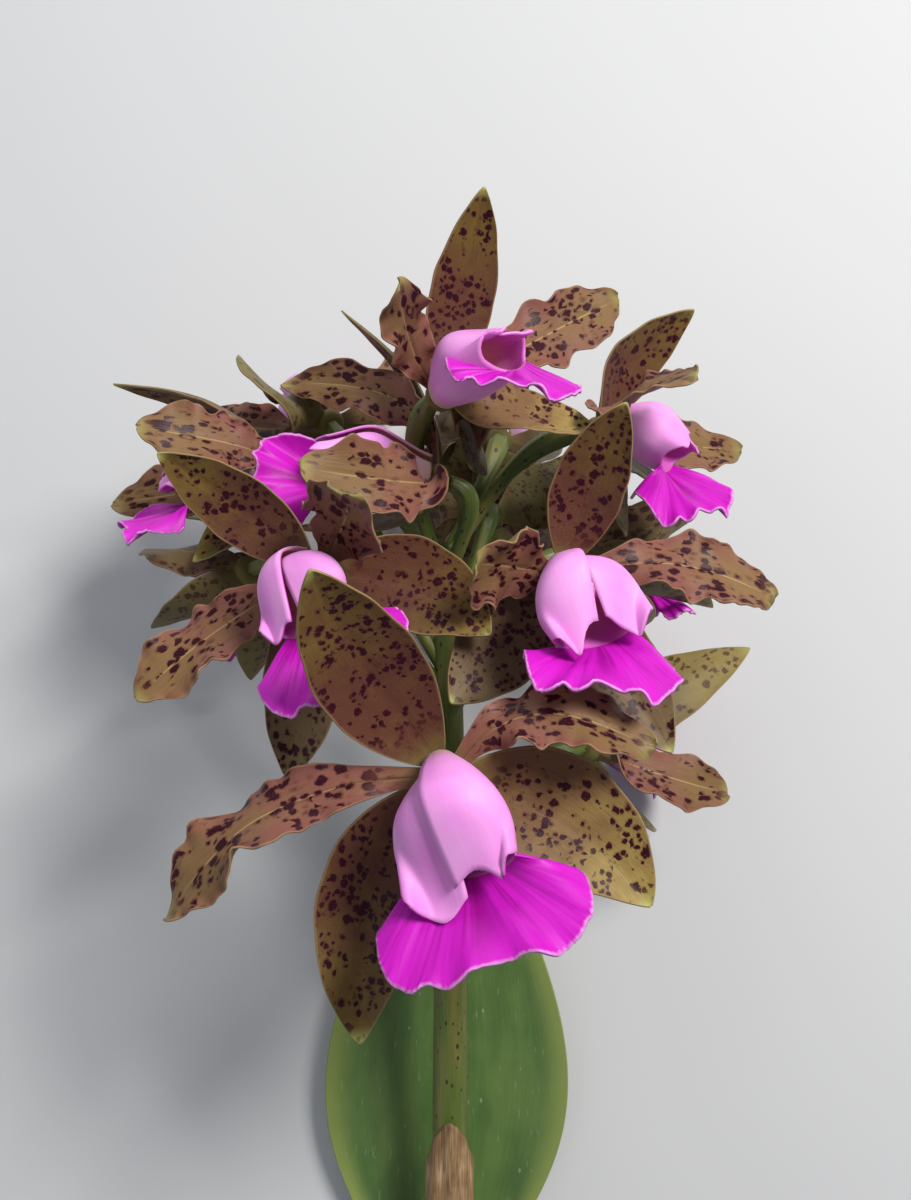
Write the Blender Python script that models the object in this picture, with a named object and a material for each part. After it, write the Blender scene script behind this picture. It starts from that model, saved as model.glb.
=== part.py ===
"""Cattleya orchid: a cut flowering shoot with thirteen spotted blooms, laid on a surface.

Shapes are worked out in millimetres on the shoot's own axes: +X to its right, +Y along
the stem towards the blooms, +Z out of the side that most blooms face. One empty lays
the shoot on its back with the head raised, so that the cut end of the cane and two of
the back blooms touch the surface at Z = 0.
"""

import math
from dataclasses import dataclass
from enum import Enum

import bpy
import numpy as np

MM = 0.001
GAP = 0.3  # between two pieces that touch

# How the shoot lies on the surface
LAY_TILT = math.radians(10.4)  # head up
LAY_ROLL = math.radians(1.5)
LAY_PLACE = (7.4, 67.6, 47.5)  # where the shoot's own origin comes to be

# Hub that a bloom's sepals and petals grow from
HUB_RADIUS = 3.7
HUB_HALF_DEPTH = 2.1
ROOT_START = 1.8  # a blade's root lies this far from the hub's middle
LEAN_START = 1.5  # how far forward a blade's bend may lie

# Green stem that carries the blooms
STEM_RADIUS_LOW = 4.2
STEM_RADIUS_TOP = 3.3
STEM_TOP = 14.0
STEM_ROWS = 11
STEM_SIDES = 8
PEDICEL_SIDES = 6
PEDICEL_ROWS = 5
PEDICEL_RADIUS = 1.7
OVARY_RADIUS = 2.5

# Cane, sheath and leaf at the foot
CANE_END = -222.0
CANE_TOP = -194.0
CANE_RADIUS = 10.0
CANE_SIDES = 14
SHEATH_TOP = -123.5
SHEATH_WALL = 0.75
SHEATH_WRAP = math.radians(112.0)  # how far each side reaches round the stem
SHEATH_FLARE = 1.6  # how much wider its foot is
LEAF_BASE = (-4.8, CANE_TOP + 0.1, -7.5)
LEAF_REACH = (4.5, 124.0, -21.0)  # from its base to its tip
LEAF_WIDTH = 62.5


def unit(vector):
    """The direction of a vector, or of each row of them."""
    vector = np.asarray(vector, float)
    return vector / np.linalg.norm(vector, axis=-1, keepdims=True)


def square_to(vector, axis):
    """The direction nearest to a vector that stands square to an axis, row by row."""
    vector = np.asarray(vector, float)
    axis = np.asarray(axis, float)
    return unit(vector - (vector * axis).sum(-1, keepdims=True) * axis)


def smooth(low, high, value):
    """0 below low, 1 above high, and an even S between them."""
    share = np.clip((value - low) / (high - low), 0.0, 1.0)
    return share * share * (3.0 - 2.0 * share)


def arc_path(start, bend, end, share):
    """Points and directions of the arc from start to end that leans towards bend."""
    share = np.asarray(share, float)[:, None]
    points = (1 - share) ** 2 * start + 2 * share * (1 - share) * bend + share**2 * end
    along = 2 * (1 - share) * (bend - start) + 2 * share * (end - bend)
    return points, unit(along)


class Outline(Enum):
    """How a blade's width runs from root to tip."""

    SEPAL = 1
    PETAL = 2
    LEAF = 3


def outline_width(outline, share):
    """Width of a blade as a share of its widest, at these shares of its length."""
    share = np.asarray(share, float)
    if outline is Outline.PETAL:
        claw = 0.24 + 0.76 * smooth(0.02, 0.6, share)
        end = np.clip((share - 0.66) / 0.34, 0.0, 1.0)
        return claw * np.sqrt(1.0 - 0.98 * end**2.3)
    if outline is Outline.LEAF:
        oval = np.clip(np.sin(np.pi * share**1.2), 0.0, 1.0) ** (1.3 - 0.9 * share)
        return np.maximum(oval, 0.16 * (1.0 - share)) + 0.01
    root = np.sin(np.pi / 2 * np.minimum(share / 0.45, 1.0)) ** 0.7
    end = (1.0 - np.clip((share - 0.45) / 0.55, 0.0, 1.0) ** 2) ** 0.85
    return np.maximum(np.where(share < 0.45, root, end), 0.17 * (1.0 - share)) + 0.02


@dataclass(frozen=True)
class BladeForm:
    """What all blades of one kind share, in millimetres and radians."""

    outline: Outline
    rows: int
    columns: int
    cup: float  # how far a half of the cross-section turns up, as an angle
    wave: float = 0.0  # how far the edges rise and fall
    waves: float = 0.0  # rises along one edge
    thickness: float = 1.1
    edge_thickness: float = 0.65


SEPAL = BladeForm(Outline.SEPAL, rows=6, columns=4, cup=0.42)
PETAL = BladeForm(Outline.PETAL, rows=8, columns=4, cup=0.22, wave=1.5, waves=2.4)
LEAF = BladeForm(Outline.LEAF, rows=11, columns=4, cup=0.3, thickness=1.6, edge_thickness=1.0)


@dataclass(frozen=True)
class Blade:
    """A sepal or petal, from its bloom's hub to its tip, on the shoot's axes."""

    tip: tuple
    looks: tuple  # where its inner face looks
    width: float
    bow: float = 0.0  # how far its middle stands off the chord towards the inner face
    sway: float = 0.0  # the same, to the right as it is looked at with the tip up
    twist: float = 0.0  # degrees that the tip is turned about the length
    hook: float = 0.0  # how far the last third bends towards the inner face
    cup: float = 1.0
    wave: float = 1.0
    phase: float = 0.0


def blade_sheet(blade, form, face, root=ROOT_START):
    """Grid of points on the middle of a blade, rows from root to tip.

    The blade leaves its hub square to the bloom's face and only then leans to its tip.
    """
    tip = np.array(blade.tip, float)
    face = unit(face)
    reach = unit(tip)
    looks = square_to(blade.looks, reach)
    side = np.cross(reach, looks)
    start = root * square_to(tip, face)
    bend = (start + tip) / 2 + 2 * (blade.bow * looks + blade.sway * side)
    bend = bend - max(bend @ face - LEAN_START, 0.0) * face
    share = 1.0 - (1.0 - np.linspace(0.0, 1.0, form.rows + 1)) ** 1.2
    across = np.linspace(-1.0, 1.0, form.columns + 1)
    points, _ = arc_path(start, bend, tip, share)
    points = points + blade.hook * smooth(0.55, 1.25, share)[:, None] * looks / 0.5
    along = unit(np.gradient(points, share, axis=0, edge_order=2))
    turned = smooth(0.0, 0.5, share)[:, None]
    normal = square_to((1 - turned) * face + turned * unit(blade.looks), along)
    sideways = np.cross(along, normal)
    turn = np.radians(blade.twist) * share[:, None]
    normal, sideways = (
        np.cos(turn) * normal - np.sin(turn) * sideways,
        np.cos(turn) * sideways + np.sin(turn) * normal,
    )
    half = blade.width / 2 * outline_width(form.outline, share)
    angle = form.cup * blade.cup * across[None, :]
    scale = half[:, None] / (form.cup * blade.cup + 1e-6)
    out = scale * np.sin(angle)
    up = scale * (1 - np.cos(angle))
    if form.wave:
        turns = 2 * math.pi * form.waves * share[:, None]
        swing = np.sin(turns + blade.phase + 1.9 * np.sign(across)[None, :])
        body = smooth(0.12, 0.45, share)[:, None] * np.abs(across)[None, :] ** 1.8
        up = up + form.wave * blade.wave * body * swing
        out = out * (1 + 0.07 * body * np.sin(1.7 * turns + blade.phase))
    grid = points[:, None, :] + out[..., None] * sideways[:, None, :]
    return grid + up[..., None] * normal[:, None, :]


def sheet_faces(rows, columns):
    """Triangles of a grid, all split the same way, for a sheet seen from its inner face."""
    faces = []
    step = columns + 1
    for row in range(rows):
        for column in range(columns):
            corner = row * step + column
            faces.append((corner, corner + 1, corner + step + 1))
            faces.append((corner, corner + step + 1, corner + step))
    return faces


def joined_rows(first, second):
    """Triangles between two rows of points that hold different numbers of points."""
    faces = []
    i = j = 0
    while i < len(first) - 1 or j < len(second) - 1:
        reach_first = (i + 1) / (len(first) - 1) if i < len(first) - 1 else 2.0
        reach_second = (j + 1) / (len(second) - 1) if j < len(second) - 1 else 2.0
        if reach_first <= reach_second:
            faces.append((first[i], first[i + 1], second[j]))
            i += 1
        else:
            faces.append((first[i], second[j + 1], second[j]))
            j += 1
    return faces


def thickened(points, faces, thickness):
    """Closed solid of a sheet: points and triangles of its two skins and its rim."""
    points = np.asarray(points, float).reshape(-1, 3)
    corner = points[np.array(faces)]
    facing = np.cross(corner[:, 1] - corner[:, 0], corner[:, 2] - corner[:, 0])
    normal = np.zeros_like(points)
    for place in range(3):
        np.add.at(normal, np.array(faces)[:, place], facing)
    half = np.broadcast_to(np.ravel(thickness), len(points))[:, None] / 2
    count = len(points)
    solid = faces + [(a + count, c + count, b + count) for a, b, c in faces]
    edges = {edge for a, b, c in faces for edge in ((a, b), (b, c), (c, a))}
    for a, b in sorted(edges):
        if (b, a) not in edges:
            solid.append((b, a, a + count))
            solid.append((b, a + count, b + count))
    return np.concatenate([points + half * unit(normal), points - half * unit(normal)]), solid


def blade_solid(blade, form, face, root=ROOT_START):
    """Closed solid of one sepal, petal or leaf."""
    grid = blade_sheet(blade, form, face, root)
    across = np.abs(np.linspace(-1.0, 1.0, form.columns + 1))[None, :]
    share = np.linspace(0.0, 1.0, form.rows + 1)[:, None]
    thinning = np.maximum(across**1.5, share**3)
    thickness = form.thickness + (form.edge_thickness - form.thickness) * thinning
    return thickened(grid, sheet_faces(form.rows, form.columns), thickness)


def rod_solid(path, radii, sides, up=(0.0, 0.0, 1.0)):
    """Closed solid of a round rod along a path, with a radius at each of its points."""
    path = np.asarray(path, float)
    along = unit(np.gradient(path, axis=0, edge_order=2))
    side = square_to(np.cross(along, np.asarray(up, float)), along)
    other = np.cross(along, side)
    turn = 2 * math.pi * (np.arange(sides) + 0.5) / sides
    ring = np.cos(turn)[None, :, None] * side[:, None] + np.sin(turn)[None, :, None] * other[:, None]
    points = path[:, None] + np.asarray(radii, float)[:, None, None] * ring
    rows = len(path)
    faces = []
    for row in range(rows - 1):
        for column in range(sides):
            a = row * sides + column
            b = row * sides + (column + 1) % sides
            faces.append((a, b, b + sides))
            faces.append((a, b + sides, a + sides))
    first, last = rows * sides, rows * sides + 1
    for column in range(sides):
        following = (column + 1) % sides
        faces.append((following, column, first))
        faces.append(((rows - 1) * sides + column, (rows - 1) * sides + following, last))
    return np.concatenate([points.reshape(-1, 3), path[:1], path[-1:]]), faces


@dataclass(frozen=True)
class LipForm:
    """The labellum: two side lobes rolled to a tube, and a wide fan in front of it."""

    tube_half_width: float = 11.2
    tube_half_height: float = 8.8
    base_radius: float = 3.4
    lap: float = 1.6  # how far one lobe's edge stands outside the other's
    neck_columns: int = 2  # of the tube's columns, those that the fan grows from
    fan_wave: float = 1.1
    wall: float = 0.8
    tube_rows: int = 5
    tube_columns: int = 8
    fan_rows: int = 3
    fan_columns: int = 8
    column_radius: float = 2.3
    column_sides: int = 6


LIP = LipForm()
FRONT_LIP = LipForm(tube_columns=12, neck_columns=4, fan_columns=12)
BACK_LIP = LipForm(tube_half_width=9.0, tube_half_height=7.4, tube_rows=4, fan_rows=2)


@dataclass(frozen=True)
class Lip:
    """One bloom's lip: where its tube's mouth and its fan's edge are, from the hub."""

    mouth: tuple
    fan: tuple
    up: tuple = None  # from the tube's floor to its seam, where it isn't the dorsal sepal's way
    fan_looks: tuple = None
    fan_width: float = 24.0
    gape: float = 0.0  # degrees that each side lobe stands away from the seam at the mouth
    hood: float = 0.5  # how far the lobes close down over the mouth
    notch: float = 0.1  # how far the lobes' edges are cut back at the seam
    lapped: int = 1  # which lobe's edge lies outside, the one on side (1) or the other (-1)
    skew: float = 0.0  # how much further that side's lobe reaches than the other
    curl: float = 106.0  # degrees round the fan's edge from its middle to where it turns back
    column_reach: float = 0.62
    droop: float = 3.0  # how far the fan's edge bends down
    size: float = 1.0
    form: LipForm = LIP


def tube_frame(bloom, share):
    """Middle line of a lip's tube, with its directions along, up and sideways."""
    face = unit(bloom.face)
    start = face * (HUB_HALF_DEPTH + GAP + 0.2)
    mouth = np.array(bloom.lip.mouth, float)
    bend = start + face * 0.42 * np.linalg.norm(mouth - start)
    inside = np.clip(share, 0.0, 1.0)
    points, along = arc_path(start, bend, mouth, inside)
    beyond = (share - inside)[:, None] * np.linalg.norm(mouth - start)
    points = points + beyond * along
    up = square_to(bloom.lip.up or bloom.dorsal.tip, along)
    return points, along, up, np.cross(along, up)


def tube_section(lip, share):
    """Half width and half height of the tube along its length."""
    swell = smooth(-0.05, 0.72, share)
    form = lip.form
    wide = form.base_radius + (form.tube_half_width * lip.size - form.base_radius) * swell
    high = form.base_radius + (form.tube_half_height * lip.size - form.base_radius) * swell
    return wide, high


def tube_sheet(bloom):
    """Grid of the rolled side lobes, from one edge round the floor to the other."""
    lip, form = bloom.lip, bloom.lip.form
    row = np.linspace(0.0, 1.0, form.tube_rows + 1)[:, None]
    across = np.linspace(-1.0, 1.0, form.tube_columns + 1)[None, :]
    closed = 192.0
    most = closed - (closed - 176.0 + lip.gape) * row**1.6
    angle = np.radians(most * across)
    away = np.abs(across)
    reach = 0.84 + 0.2 * smooth(0.3, 0.7, away) - lip.notch * smooth(0.72, 1.0, away)
    reach = reach + lip.skew * across * smooth(0.2, 0.6, away) * smooth(1.05, 0.85, away)
    share = row * reach
    wide, high = tube_section(lip, share)
    roof = -np.cos(angle)
    over = lip.hood * smooth(0.5, 1.1, share)
    rise = np.where(roof > 0, roof * (1 - over) - 0.55 * over * smooth(0.0, 0.6, roof), roof)
    out = np.sin(angle) * (1 - 0.3 * over * smooth(-0.3, 0.5, roof))
    lap = form.lap * smooth(0.45, 0.9, lip.lapped * across)
    grid = np.empty(share.shape + (3,))
    for column in range(form.tube_columns + 1):
        points, along, up, side = tube_frame(bloom, share[:, column])
        wall, bent = lap[:, column], over[:, column] * np.maximum(roof[:, column], 0.0)
        wider = wide[:, column] * out[:, column] + wall * np.sin(angle[:, column])
        higher = high[:, column] * rise[:, column] + wall * roof[:, column] * (1 - 0.5 * bent)
        grid[:, column] = points + wider[:, None] * side + higher[:, None] * up
        grid[:, column] += (0.6 * wall * bent)[:, None] * along
    return grid


def fan_edge(lip, across):
    """How far out and how far ahead a fan's edge is, as shares of its half width and reach."""
    turn = np.radians(lip.curl) * across
    out = np.sign(turn) * np.abs(np.sin(turn)) ** 0.75
    bend = np.cos(turn)
    ahead = 0.42 + np.where(bend > 0, 0.58, -0.42) * np.abs(bend) ** 0.6
    return out, ahead


def fan_sheet(bloom, neck):
    """Rows of points on the lip's fan, from just ahead of its neck to its waved edge."""
    lip, form = bloom.lip, bloom.lip.form
    middle = neck[len(neck) // 2]
    _, along, up, _ = (value[0] for value in tube_frame(bloom, np.array([0.84])))
    ahead = unit(np.array(lip.fan, float) - middle)
    normal = square_to(lip.fan_looks or up + 0.8 * along, ahead)
    side = np.cross(ahead, normal)
    reach = np.linalg.norm(np.array(lip.fan, float) - middle)
    across = np.linspace(-1.0, 1.0, form.fan_columns + 1)
    out, far = fan_edge(lip, across)
    edge = middle + (far * reach)[:, None] * ahead + (lip.fan_width / 2 * out)[:, None] * side
    place = np.linspace(-1.0, 1.0, len(neck))
    start = np.stack([np.interp(across, place, neck[:, axis]) for axis in range(3)], -1)
    rows = []
    for row in range(1, form.fan_rows + 1):
        share = row / form.fan_rows
        fall = -lip.droop * share**2.2 * (1 + 0.5 * across**2)
        wave = form.fan_wave * share**1.5 * np.cos(8.3 * across)
        rows.append(start + share * (edge - start) + (fall + wave)[:, None] * normal)
    return np.array(rows)


def lip_sheet(bloom):
    """Points and triangles of a whole lip: the tube, and the fan from the tube's floor."""
    form = bloom.lip.form
    tube = tube_sheet(bloom)
    step = form.tube_columns + 1
    middle = form.tube_columns // 2
    half = form.neck_columns // 2
    neck = list(range(form.tube_rows * step + middle - half, form.tube_rows * step + middle + half + 1))
    points = tube.reshape(-1, 3)
    fan = fan_sheet(bloom, points[neck])
    count = len(points)
    first = list(range(count, count + form.fan_columns + 1))
    faces = sheet_faces(form.tube_rows, form.tube_columns) + joined_rows(neck, first)
    for face in sheet_faces(form.fan_rows - 1, form.fan_columns):
        faces.append(tuple(corner + count for corner in face))
    return np.concatenate([points, fan.reshape(-1, 3)]), faces


def column_path(bloom):
    """Middle line of the column, which lies along the roof of the tube."""
    share = np.linspace(0.02, bloom.lip.column_reach, 5)
    points, _, up, _ = tube_frame(bloom, share)
    lift = 0.25 * bloom.lip.size * bloom.lip.form.tube_half_height * smooth(0.1, 0.6, share)
    return points + lift[:, None] * up


@dataclass(frozen=True)
class Bloom:
    """One flower. Its hub is on the shoot's axes, and all else is measured from the hub."""

    name: str
    hub: tuple
    face: tuple  # the way the flower looks
    dorsal: Blade
    petals: tuple
    laterals: tuple
    lip: Lip
    stalk_from: float  # height on the stem where its stalk leaves
    stalk_by: tuple = (0, 0, 0)  # how far the stalk's middle is pushed aside
    sepal_form: BladeForm = SEPAL
    petal_form: BladeForm = PETAL


BACK_SEPAL = BladeForm(Outline.SEPAL, rows=5, columns=2, cup=0.42)
BACK_PETAL = BladeForm(Outline.PETAL, rows=6, columns=3, cup=0.22, wave=1.4, waves=1.8)

BLOOMS = (
    Bloom(
        "front_bloom",
        hub=(-2, -33, 58),
        face=(0.05, -0.1, 1),
        dorsal=Blade(tip=(-22, 38, 30), looks=(0.3, -0.4, 1), width=21, bow=-4, sway=-2),
        petals=(
            Blade(tip=(-55, -24, 2), looks=(-0.3, 0.75, 0.7), width=15, bow=6, sway=3, hook=-4, wave=1.5),
            Blade(tip=(38, 8, 7), looks=(0.4, 1, 0.9), width=14, bow=12, sway=4, twist=-15, hook=-3),
        ),
        laterals=(
            Blade(tip=(-16, -51, 2), looks=(-0.1, 0.1, 1), width=22, bow=-3, sway=6),
            Blade(tip=(39, -25, 2), looks=(0.1, 0.1, 1), width=24, bow=-3, sway=-5),
        ),
        lip=Lip(
            mouth=(2, -17, 22), fan=(8, -28.5, 27), fan_looks=(-0.28, 0.75, 0.56), fan_width=39,
            gape=-8, hood=1, notch=0.06, curl=114, droop=2, lapped=-1, skew=0.14, form=FRONT_LIP,
        ),
        stalk_from=-66,
    ),
    Bloom(
        "left_bloom",
        hub=(-28, 6, 42),
        face=(-0.1, -0.15, 1),
        dorsal=Blade(tip=(-31, 23, 8), looks=(0.1, -0.5, 1), width=15, bow=-3),
        petals=(
            Blade(tip=(-37, -26, 2), looks=(-0.3, 0.5, 0.9), width=15, bow=3),
            Blade(tip=(9, 13, 28), looks=(-0.4, -0.6, 0.7), width=17),
        ),
        laterals=(
            Blade(tip=(-7, -44, -6), looks=(0, 0.1, 1), width=17, bow=-2),
            Blade(tip=(35, -13, 4), looks=(0, 0.1, 1), width=20, bow=-2, sway=-4),
        ),
        lip=Lip(
            mouth=(-3, -9, 20), fan=(8, -21, 25), up=(-0.54, 0.84, 0.2), fan_looks=(-0.33, 0.68, 0.64),
            fan_width=31, gape=2, hood=1, size=0.85, droop=1,
        ),
        stalk_from=-38,
    ),
    Bloom(
        "right_bloom",
        hub=(22, 5, 40),
        face=(0.15, -0.15, 1),
        dorsal=Blade(tip=(11, 33, 16), looks=(-0.1, -0.35, 1), width=15, bow=-3, sway=-1),
        petals=(
            Blade(tip=(-18, 2, 18), looks=(0.5, -0.5, 0.7), width=18, cup=1.6),
            Blade(tip=(45, -5, -4), looks=(0.1, 0.6, 0.8), width=16, bow=7),
        ),
        laterals=(
            Blade(tip=(-23, -26, 4), looks=(0, 0.1, 1), width=19, bow=-3),
            Blade(tip=(22, -36, 4), looks=(0.1, 0.1, 1), width=18, bow=-2),
        ),
        lip=Lip(
            mouth=(7, -10, 21), fan=(6, -21, 29), up=(-0.2, 1, 0.3), fan_looks=(0.1, 0.75, 0.65),
            fan_width=30, gape=3, hood=1, notch=0.16, size=0.95, droop=1, column_reach=0.72,
        ),
        stalk_from=-30,
    ),
    Bloom(
        "top_bloom",
        hub=(-3, 45, 25),
        face=(0.35, 0.1, 1),
        dorsal=Blade(tip=(9, 41, 13), looks=(0.3, -0.4, 1), width=15, bow=-3, sway=1),
        petals=(
            Blade(tip=(-8, 17, 27), looks=(0.6, -0.3, 0.7), width=12),
            Blade(tip=(43, 29, -30), looks=(0, 0.2, 1), width=16, bow=-1, sway=-1, twist=-15),
        ),
        laterals=(
            Blade(tip=(8, -12, -32), looks=(-1, -0.1, 0.1), width=17, bow=-3, sway=-1, twist=30, hook=1),
            Blade(tip=(36, -7, -7), looks=(0.1, 0.7, 0.6), width=17),
        ),
        lip=Lip(
            mouth=(14, 10, 20), fan=(14, -3, 26), up=(-0.1, 1, 0.2), fan_looks=(0.1, 0.45, 0.9),
            fan_width=28, gape=-4, hood=0.8, notch=0.1, size=0.8, droop=0, column_reach=0.66,
        ),
        stalk_from=6,
        stalk_by=(-4, -1, 3),
    ),
    Bloom(
        "upper_left_bloom",
        hub=(-4, 27, 18),
        face=(-1, 0.2, 0.25),
        dorsal=Blade(tip=(-19, 43, -12), looks=(-1, -0.3, 0), width=12, bow=-5, sway=-10, twist=-15, hook=3),
        petals=(
            Blade(tip=(-28, -1, 29), looks=(-0.3, 0.1, 1), width=16, bow=3, sway=-1, twist=-5, hook=1),
            Blade(tip=(-38, 27, -28), looks=(-1, 0.1, 0.6), width=12, bow=3, sway=9, twist=-20, hook=1),
        ),
        laterals=(
            Blade(tip=(-33, -11, 4), looks=(-0.3, 0.85, 0.3), width=16, bow=-3),
            Blade(tip=(-18, -2, -29), looks=(-0.2, 1, 0.2), width=16, bow=3, sway=10, twist=60, hook=3),
        ),
        lip=Lip(
            mouth=(-27, 6, 5), fan=(-41, 2, 9), up=(0.2, 1, 0.1), fan_looks=(0.1, 0.35, 1),
            fan_width=20, droop=0, size=0.85,
        ),
        stalk_from=0,
        stalk_by=(-1, -1, 0),
    ),
    Bloom(
        "far_left_bloom",
        hub=(-46, 33, 0),
        face=(-0.9, 0, 0.2),
        dorsal=Blade(tip=(-37, 21, -4), looks=(0, -1, 0.15), width=17, bow=-3, sway=-2, hook=1),
        petals=(
            Blade(tip=(-26, 6, 18), looks=(0.1, 0.4, 0.9), width=16),
            Blade(tip=(-43, -8, -18), looks=(0.2, 0.1, 1), width=15, twist=-15, hook=-1),
        ),
        laterals=(
            Blade(tip=(-16, -24, 6), looks=(-0.5, 0.5, 0.8), width=16),
            Blade(tip=(-19, -11, -40), looks=(-0.6, 0.5, 0.3), width=16, sway=1, twist=10),
        ),
        lip=Lip(
            mouth=(-23, -7, 4), fan=(-33, -16, 8), up=(0.2, 1, 0), fan_looks=(-0.4, 0.8, 0.45),
            fan_width=19, droop=1, size=0.78,
        ),
        stalk_from=-18,
        stalk_by=(-1, 0, 0),
    ),
    Bloom(
        "upper_right_bloom",
        hub=(33, 39, 10),
        face=(0.95, 0, 0.3),
        dorsal=Blade(tip=(23, 29, -2), looks=(0.4, -0.5, 0.75), width=16, bow=-2),
        petals=(
            Blade(tip=(17, 8, 30), looks=(0.1, 0.7, 0.7), width=15),
            Blade(tip=(42, 0, -30), looks=(0.5, 0.3, 1), width=14, bow=7, sway=2, hook=-1),
        ),
        laterals=(
            Blade(tip=(22, -10, -30), looks=(0.8, 1, 0.8), width=16, bow=-2, sway=-3, twist=5),
            Blade(tip=(7, -24, -2), looks=(0.8, 0.2, 0.4), width=15),
        ),
        lip=Lip(
            mouth=(20, -5, 7), fan=(22, -20, 16), up=(0.1, 1, 0.1), fan_looks=(0.1, 0.7, 0.7),
            fan_width=22, gape=12, hood=0.5, droop=1, size=0.76,
        ),
        stalk_from=10,
        stalk_by=(1, 0, -1),
    ),
    Bloom(
        "back_top_bloom",
        hub=(11, 41, -20),
        face=(0, 0.1, -1),
        dorsal=Blade(tip=(0, 36, -30), looks=(0, -0.5, -1), width=17),
        petals=(
            Blade(tip=(19, 1, -30), looks=(0, 0.3, -1), width=14),
            Blade(tip=(-18, 4, -30), looks=(0, 0.3, -1), width=14),
        ),
        laterals=(
            Blade(tip=(10, -31, -22), looks=(0, 0.2, -1), width=17, bow=9, sway=-2, twist=-15, hook=-1),
            Blade(tip=(-16, -25, -28), looks=(0.2, 0.9, -1), width=16, bow=7, sway=-3, twist=20, hook=-2),
        ),
        lip=Lip(mouth=(2, 5, -34), fan=(0, -31, -27), gape=3, droop=2, size=1.01, form=BACK_LIP),
        stalk_from=11,
        stalk_by=(1, 0, 0),
        sepal_form=BACK_SEPAL,
        petal_form=BACK_PETAL,
    ),
    Bloom(
        "lower_right_bloom",
        hub=(32, -35, 2),
        face=(0.7, 0, -0.7),
        dorsal=Blade(tip=(41, 23, -10), looks=(0.2, -0.4, -0.9), width=18),
        petals=(
            Blade(tip=(34, -12, -4), looks=(0.2, 0.4, 0.9), width=13, bow=2),
            Blade(tip=(10, 20, -37), looks=(0.5, -0.3, -0.6), width=15),
        ),
        laterals=(
            Blade(tip=(23, -26, -34), looks=(1, 0.4, -0.5), width=15, bow=2, twist=-15, hook=-1),
            Blade(tip=(-6, -22, -36), looks=(0.5, 0.3, -0.6), width=16),
        ),
        lip=Lip(mouth=(19, -4, -27), fan=(26.5, -10.5, -32), gape=4, droop=2.5, form=BACK_LIP),
        stalk_from=-52,
        sepal_form=BACK_SEPAL,
        petal_form=BACK_PETAL,
    ),
    Bloom(
        "back_middle_bloom",
        hub=(9, 21, -14),
        face=(0.1, -0.3, -1),
        dorsal=Blade(tip=(30, 23, -21), looks=(-0.2, 0, -1), width=17, bow=7, sway=-8, twist=30, hook=5),
        petals=(
            Blade(tip=(23, -8, -30), looks=(-0.1, 0, -1), width=13),
            Blade(tip=(-26, 4, -35), looks=(0, 0, -1), width=13, bow=-1, twist=5),
        ),
        laterals=(
            Blade(tip=(9, -30, -4), looks=(0.1, 0.3, -1), width=15, bow=-4, hook=2),
            Blade(tip=(-11, -32, -22), looks=(0, 0.2, -1), width=17),
        ),
        lip=Lip(mouth=(-4, -12, -16), fan=(-2, -20, -26), form=BACK_LIP),
        stalk_from=-6,
        stalk_by=(1, -1, -1),
        sepal_form=BACK_SEPAL,
        petal_form=BACK_PETAL,
    ),
    Bloom(
        "back_right_bloom",
        hub=(30, 10, -2),
        face=(0.6, -0.1, -0.8),
        dorsal=Blade(tip=(14, 20, -18), looks=(0.8, -0.1, -1), width=16, sway=1),
        petals=(
            Blade(tip=(30, 12, -8), looks=(0.5, 0.4, -1), width=14, sway=-1, twist=-15),
            Blade(tip=(10, -6, -41), looks=(1, 0.5, -0.6), width=14),
        ),
        laterals=(
            Blade(tip=(20, -13, -12), looks=(0.5, 1, -0.7), width=17, bow=-9, sway=3, twist=35, hook=-2),
            Blade(tip=(37, -13, -19), looks=(0.4, 0.5, -0.8), width=16, sway=3, hook=1),
        ),
        lip=Lip(mouth=(26, -1, -30), fan=(18, -10, -21), gape=9, droop=6, size=0.9, form=BACK_LIP),
        stalk_from=-12,
        sepal_form=BACK_SEPAL,
        petal_form=BACK_PETAL,
    ),
    Bloom(
        "lower_left_bloom",
        hub=(-50, 7, 0),
        face=(-0.6, -0.2, -0.75),
        dorsal=Blade(tip=(-25, 16, -27), looks=(-1, -0.5, -0.6), width=17, bow=-2, sway=-8, twist=-15),
        petals=(
            Blade(tip=(-30, 6, -19), looks=(-0.7, -0.4, -1), width=14, sway=2, twist=-10),
            Blade(tip=(14, -4, -40), looks=(-0.5, 0, -0.6), width=14),
        ),
        laterals=(
            Blade(tip=(-26, -14, -11), looks=(-0.6, 0.5, -1), width=15, bow=-4, sway=-1, twist=35),
            Blade(tip=(-4, -28, -26), looks=(-0.5, 0.3, -0.6), width=16),
        ),
        lip=Lip(mouth=(-12, -8, -22), fan=(-16, -20, -28), form=BACK_LIP),
        stalk_from=-24,
        sepal_form=BACK_SEPAL,
        petal_form=BACK_PETAL,
    ),
    Bloom(
        "back_left_bloom",
        hub=(-32, 45, -15),
        face=(-0.4, 0.5, -0.8),
        dorsal=Blade(tip=(-23, 15, 5), looks=(-0.9, -1, 0.3), width=15, bow=3, sway=6, twist=20, hook=-1),
        petals=(
            Blade(tip=(-38, 3, -10), looks=(0, 0.4, 0.9), width=14),
            Blade(tip=(20, 24, -34), looks=(-0.3, 0.2, -0.8), width=14),
        ),
        laterals=(
            Blade(tip=(-29, -8, -37), looks=(0.2, 0.7, -1), width=16),
            Blade(tip=(6, 2, -42), looks=(-0.3, 0.3, -0.5), width=16),
        ),
        lip=Lip(mouth=(-14, 9, -35.5), fan=(-9, 0, -31.5), gape=5, droop=1, form=BACK_LIP),
        stalk_from=6,
        stalk_by=(-1, -1, -1),
        sepal_form=BACK_SEPAL,
        petal_form=BACK_PETAL,
    ),
)


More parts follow.
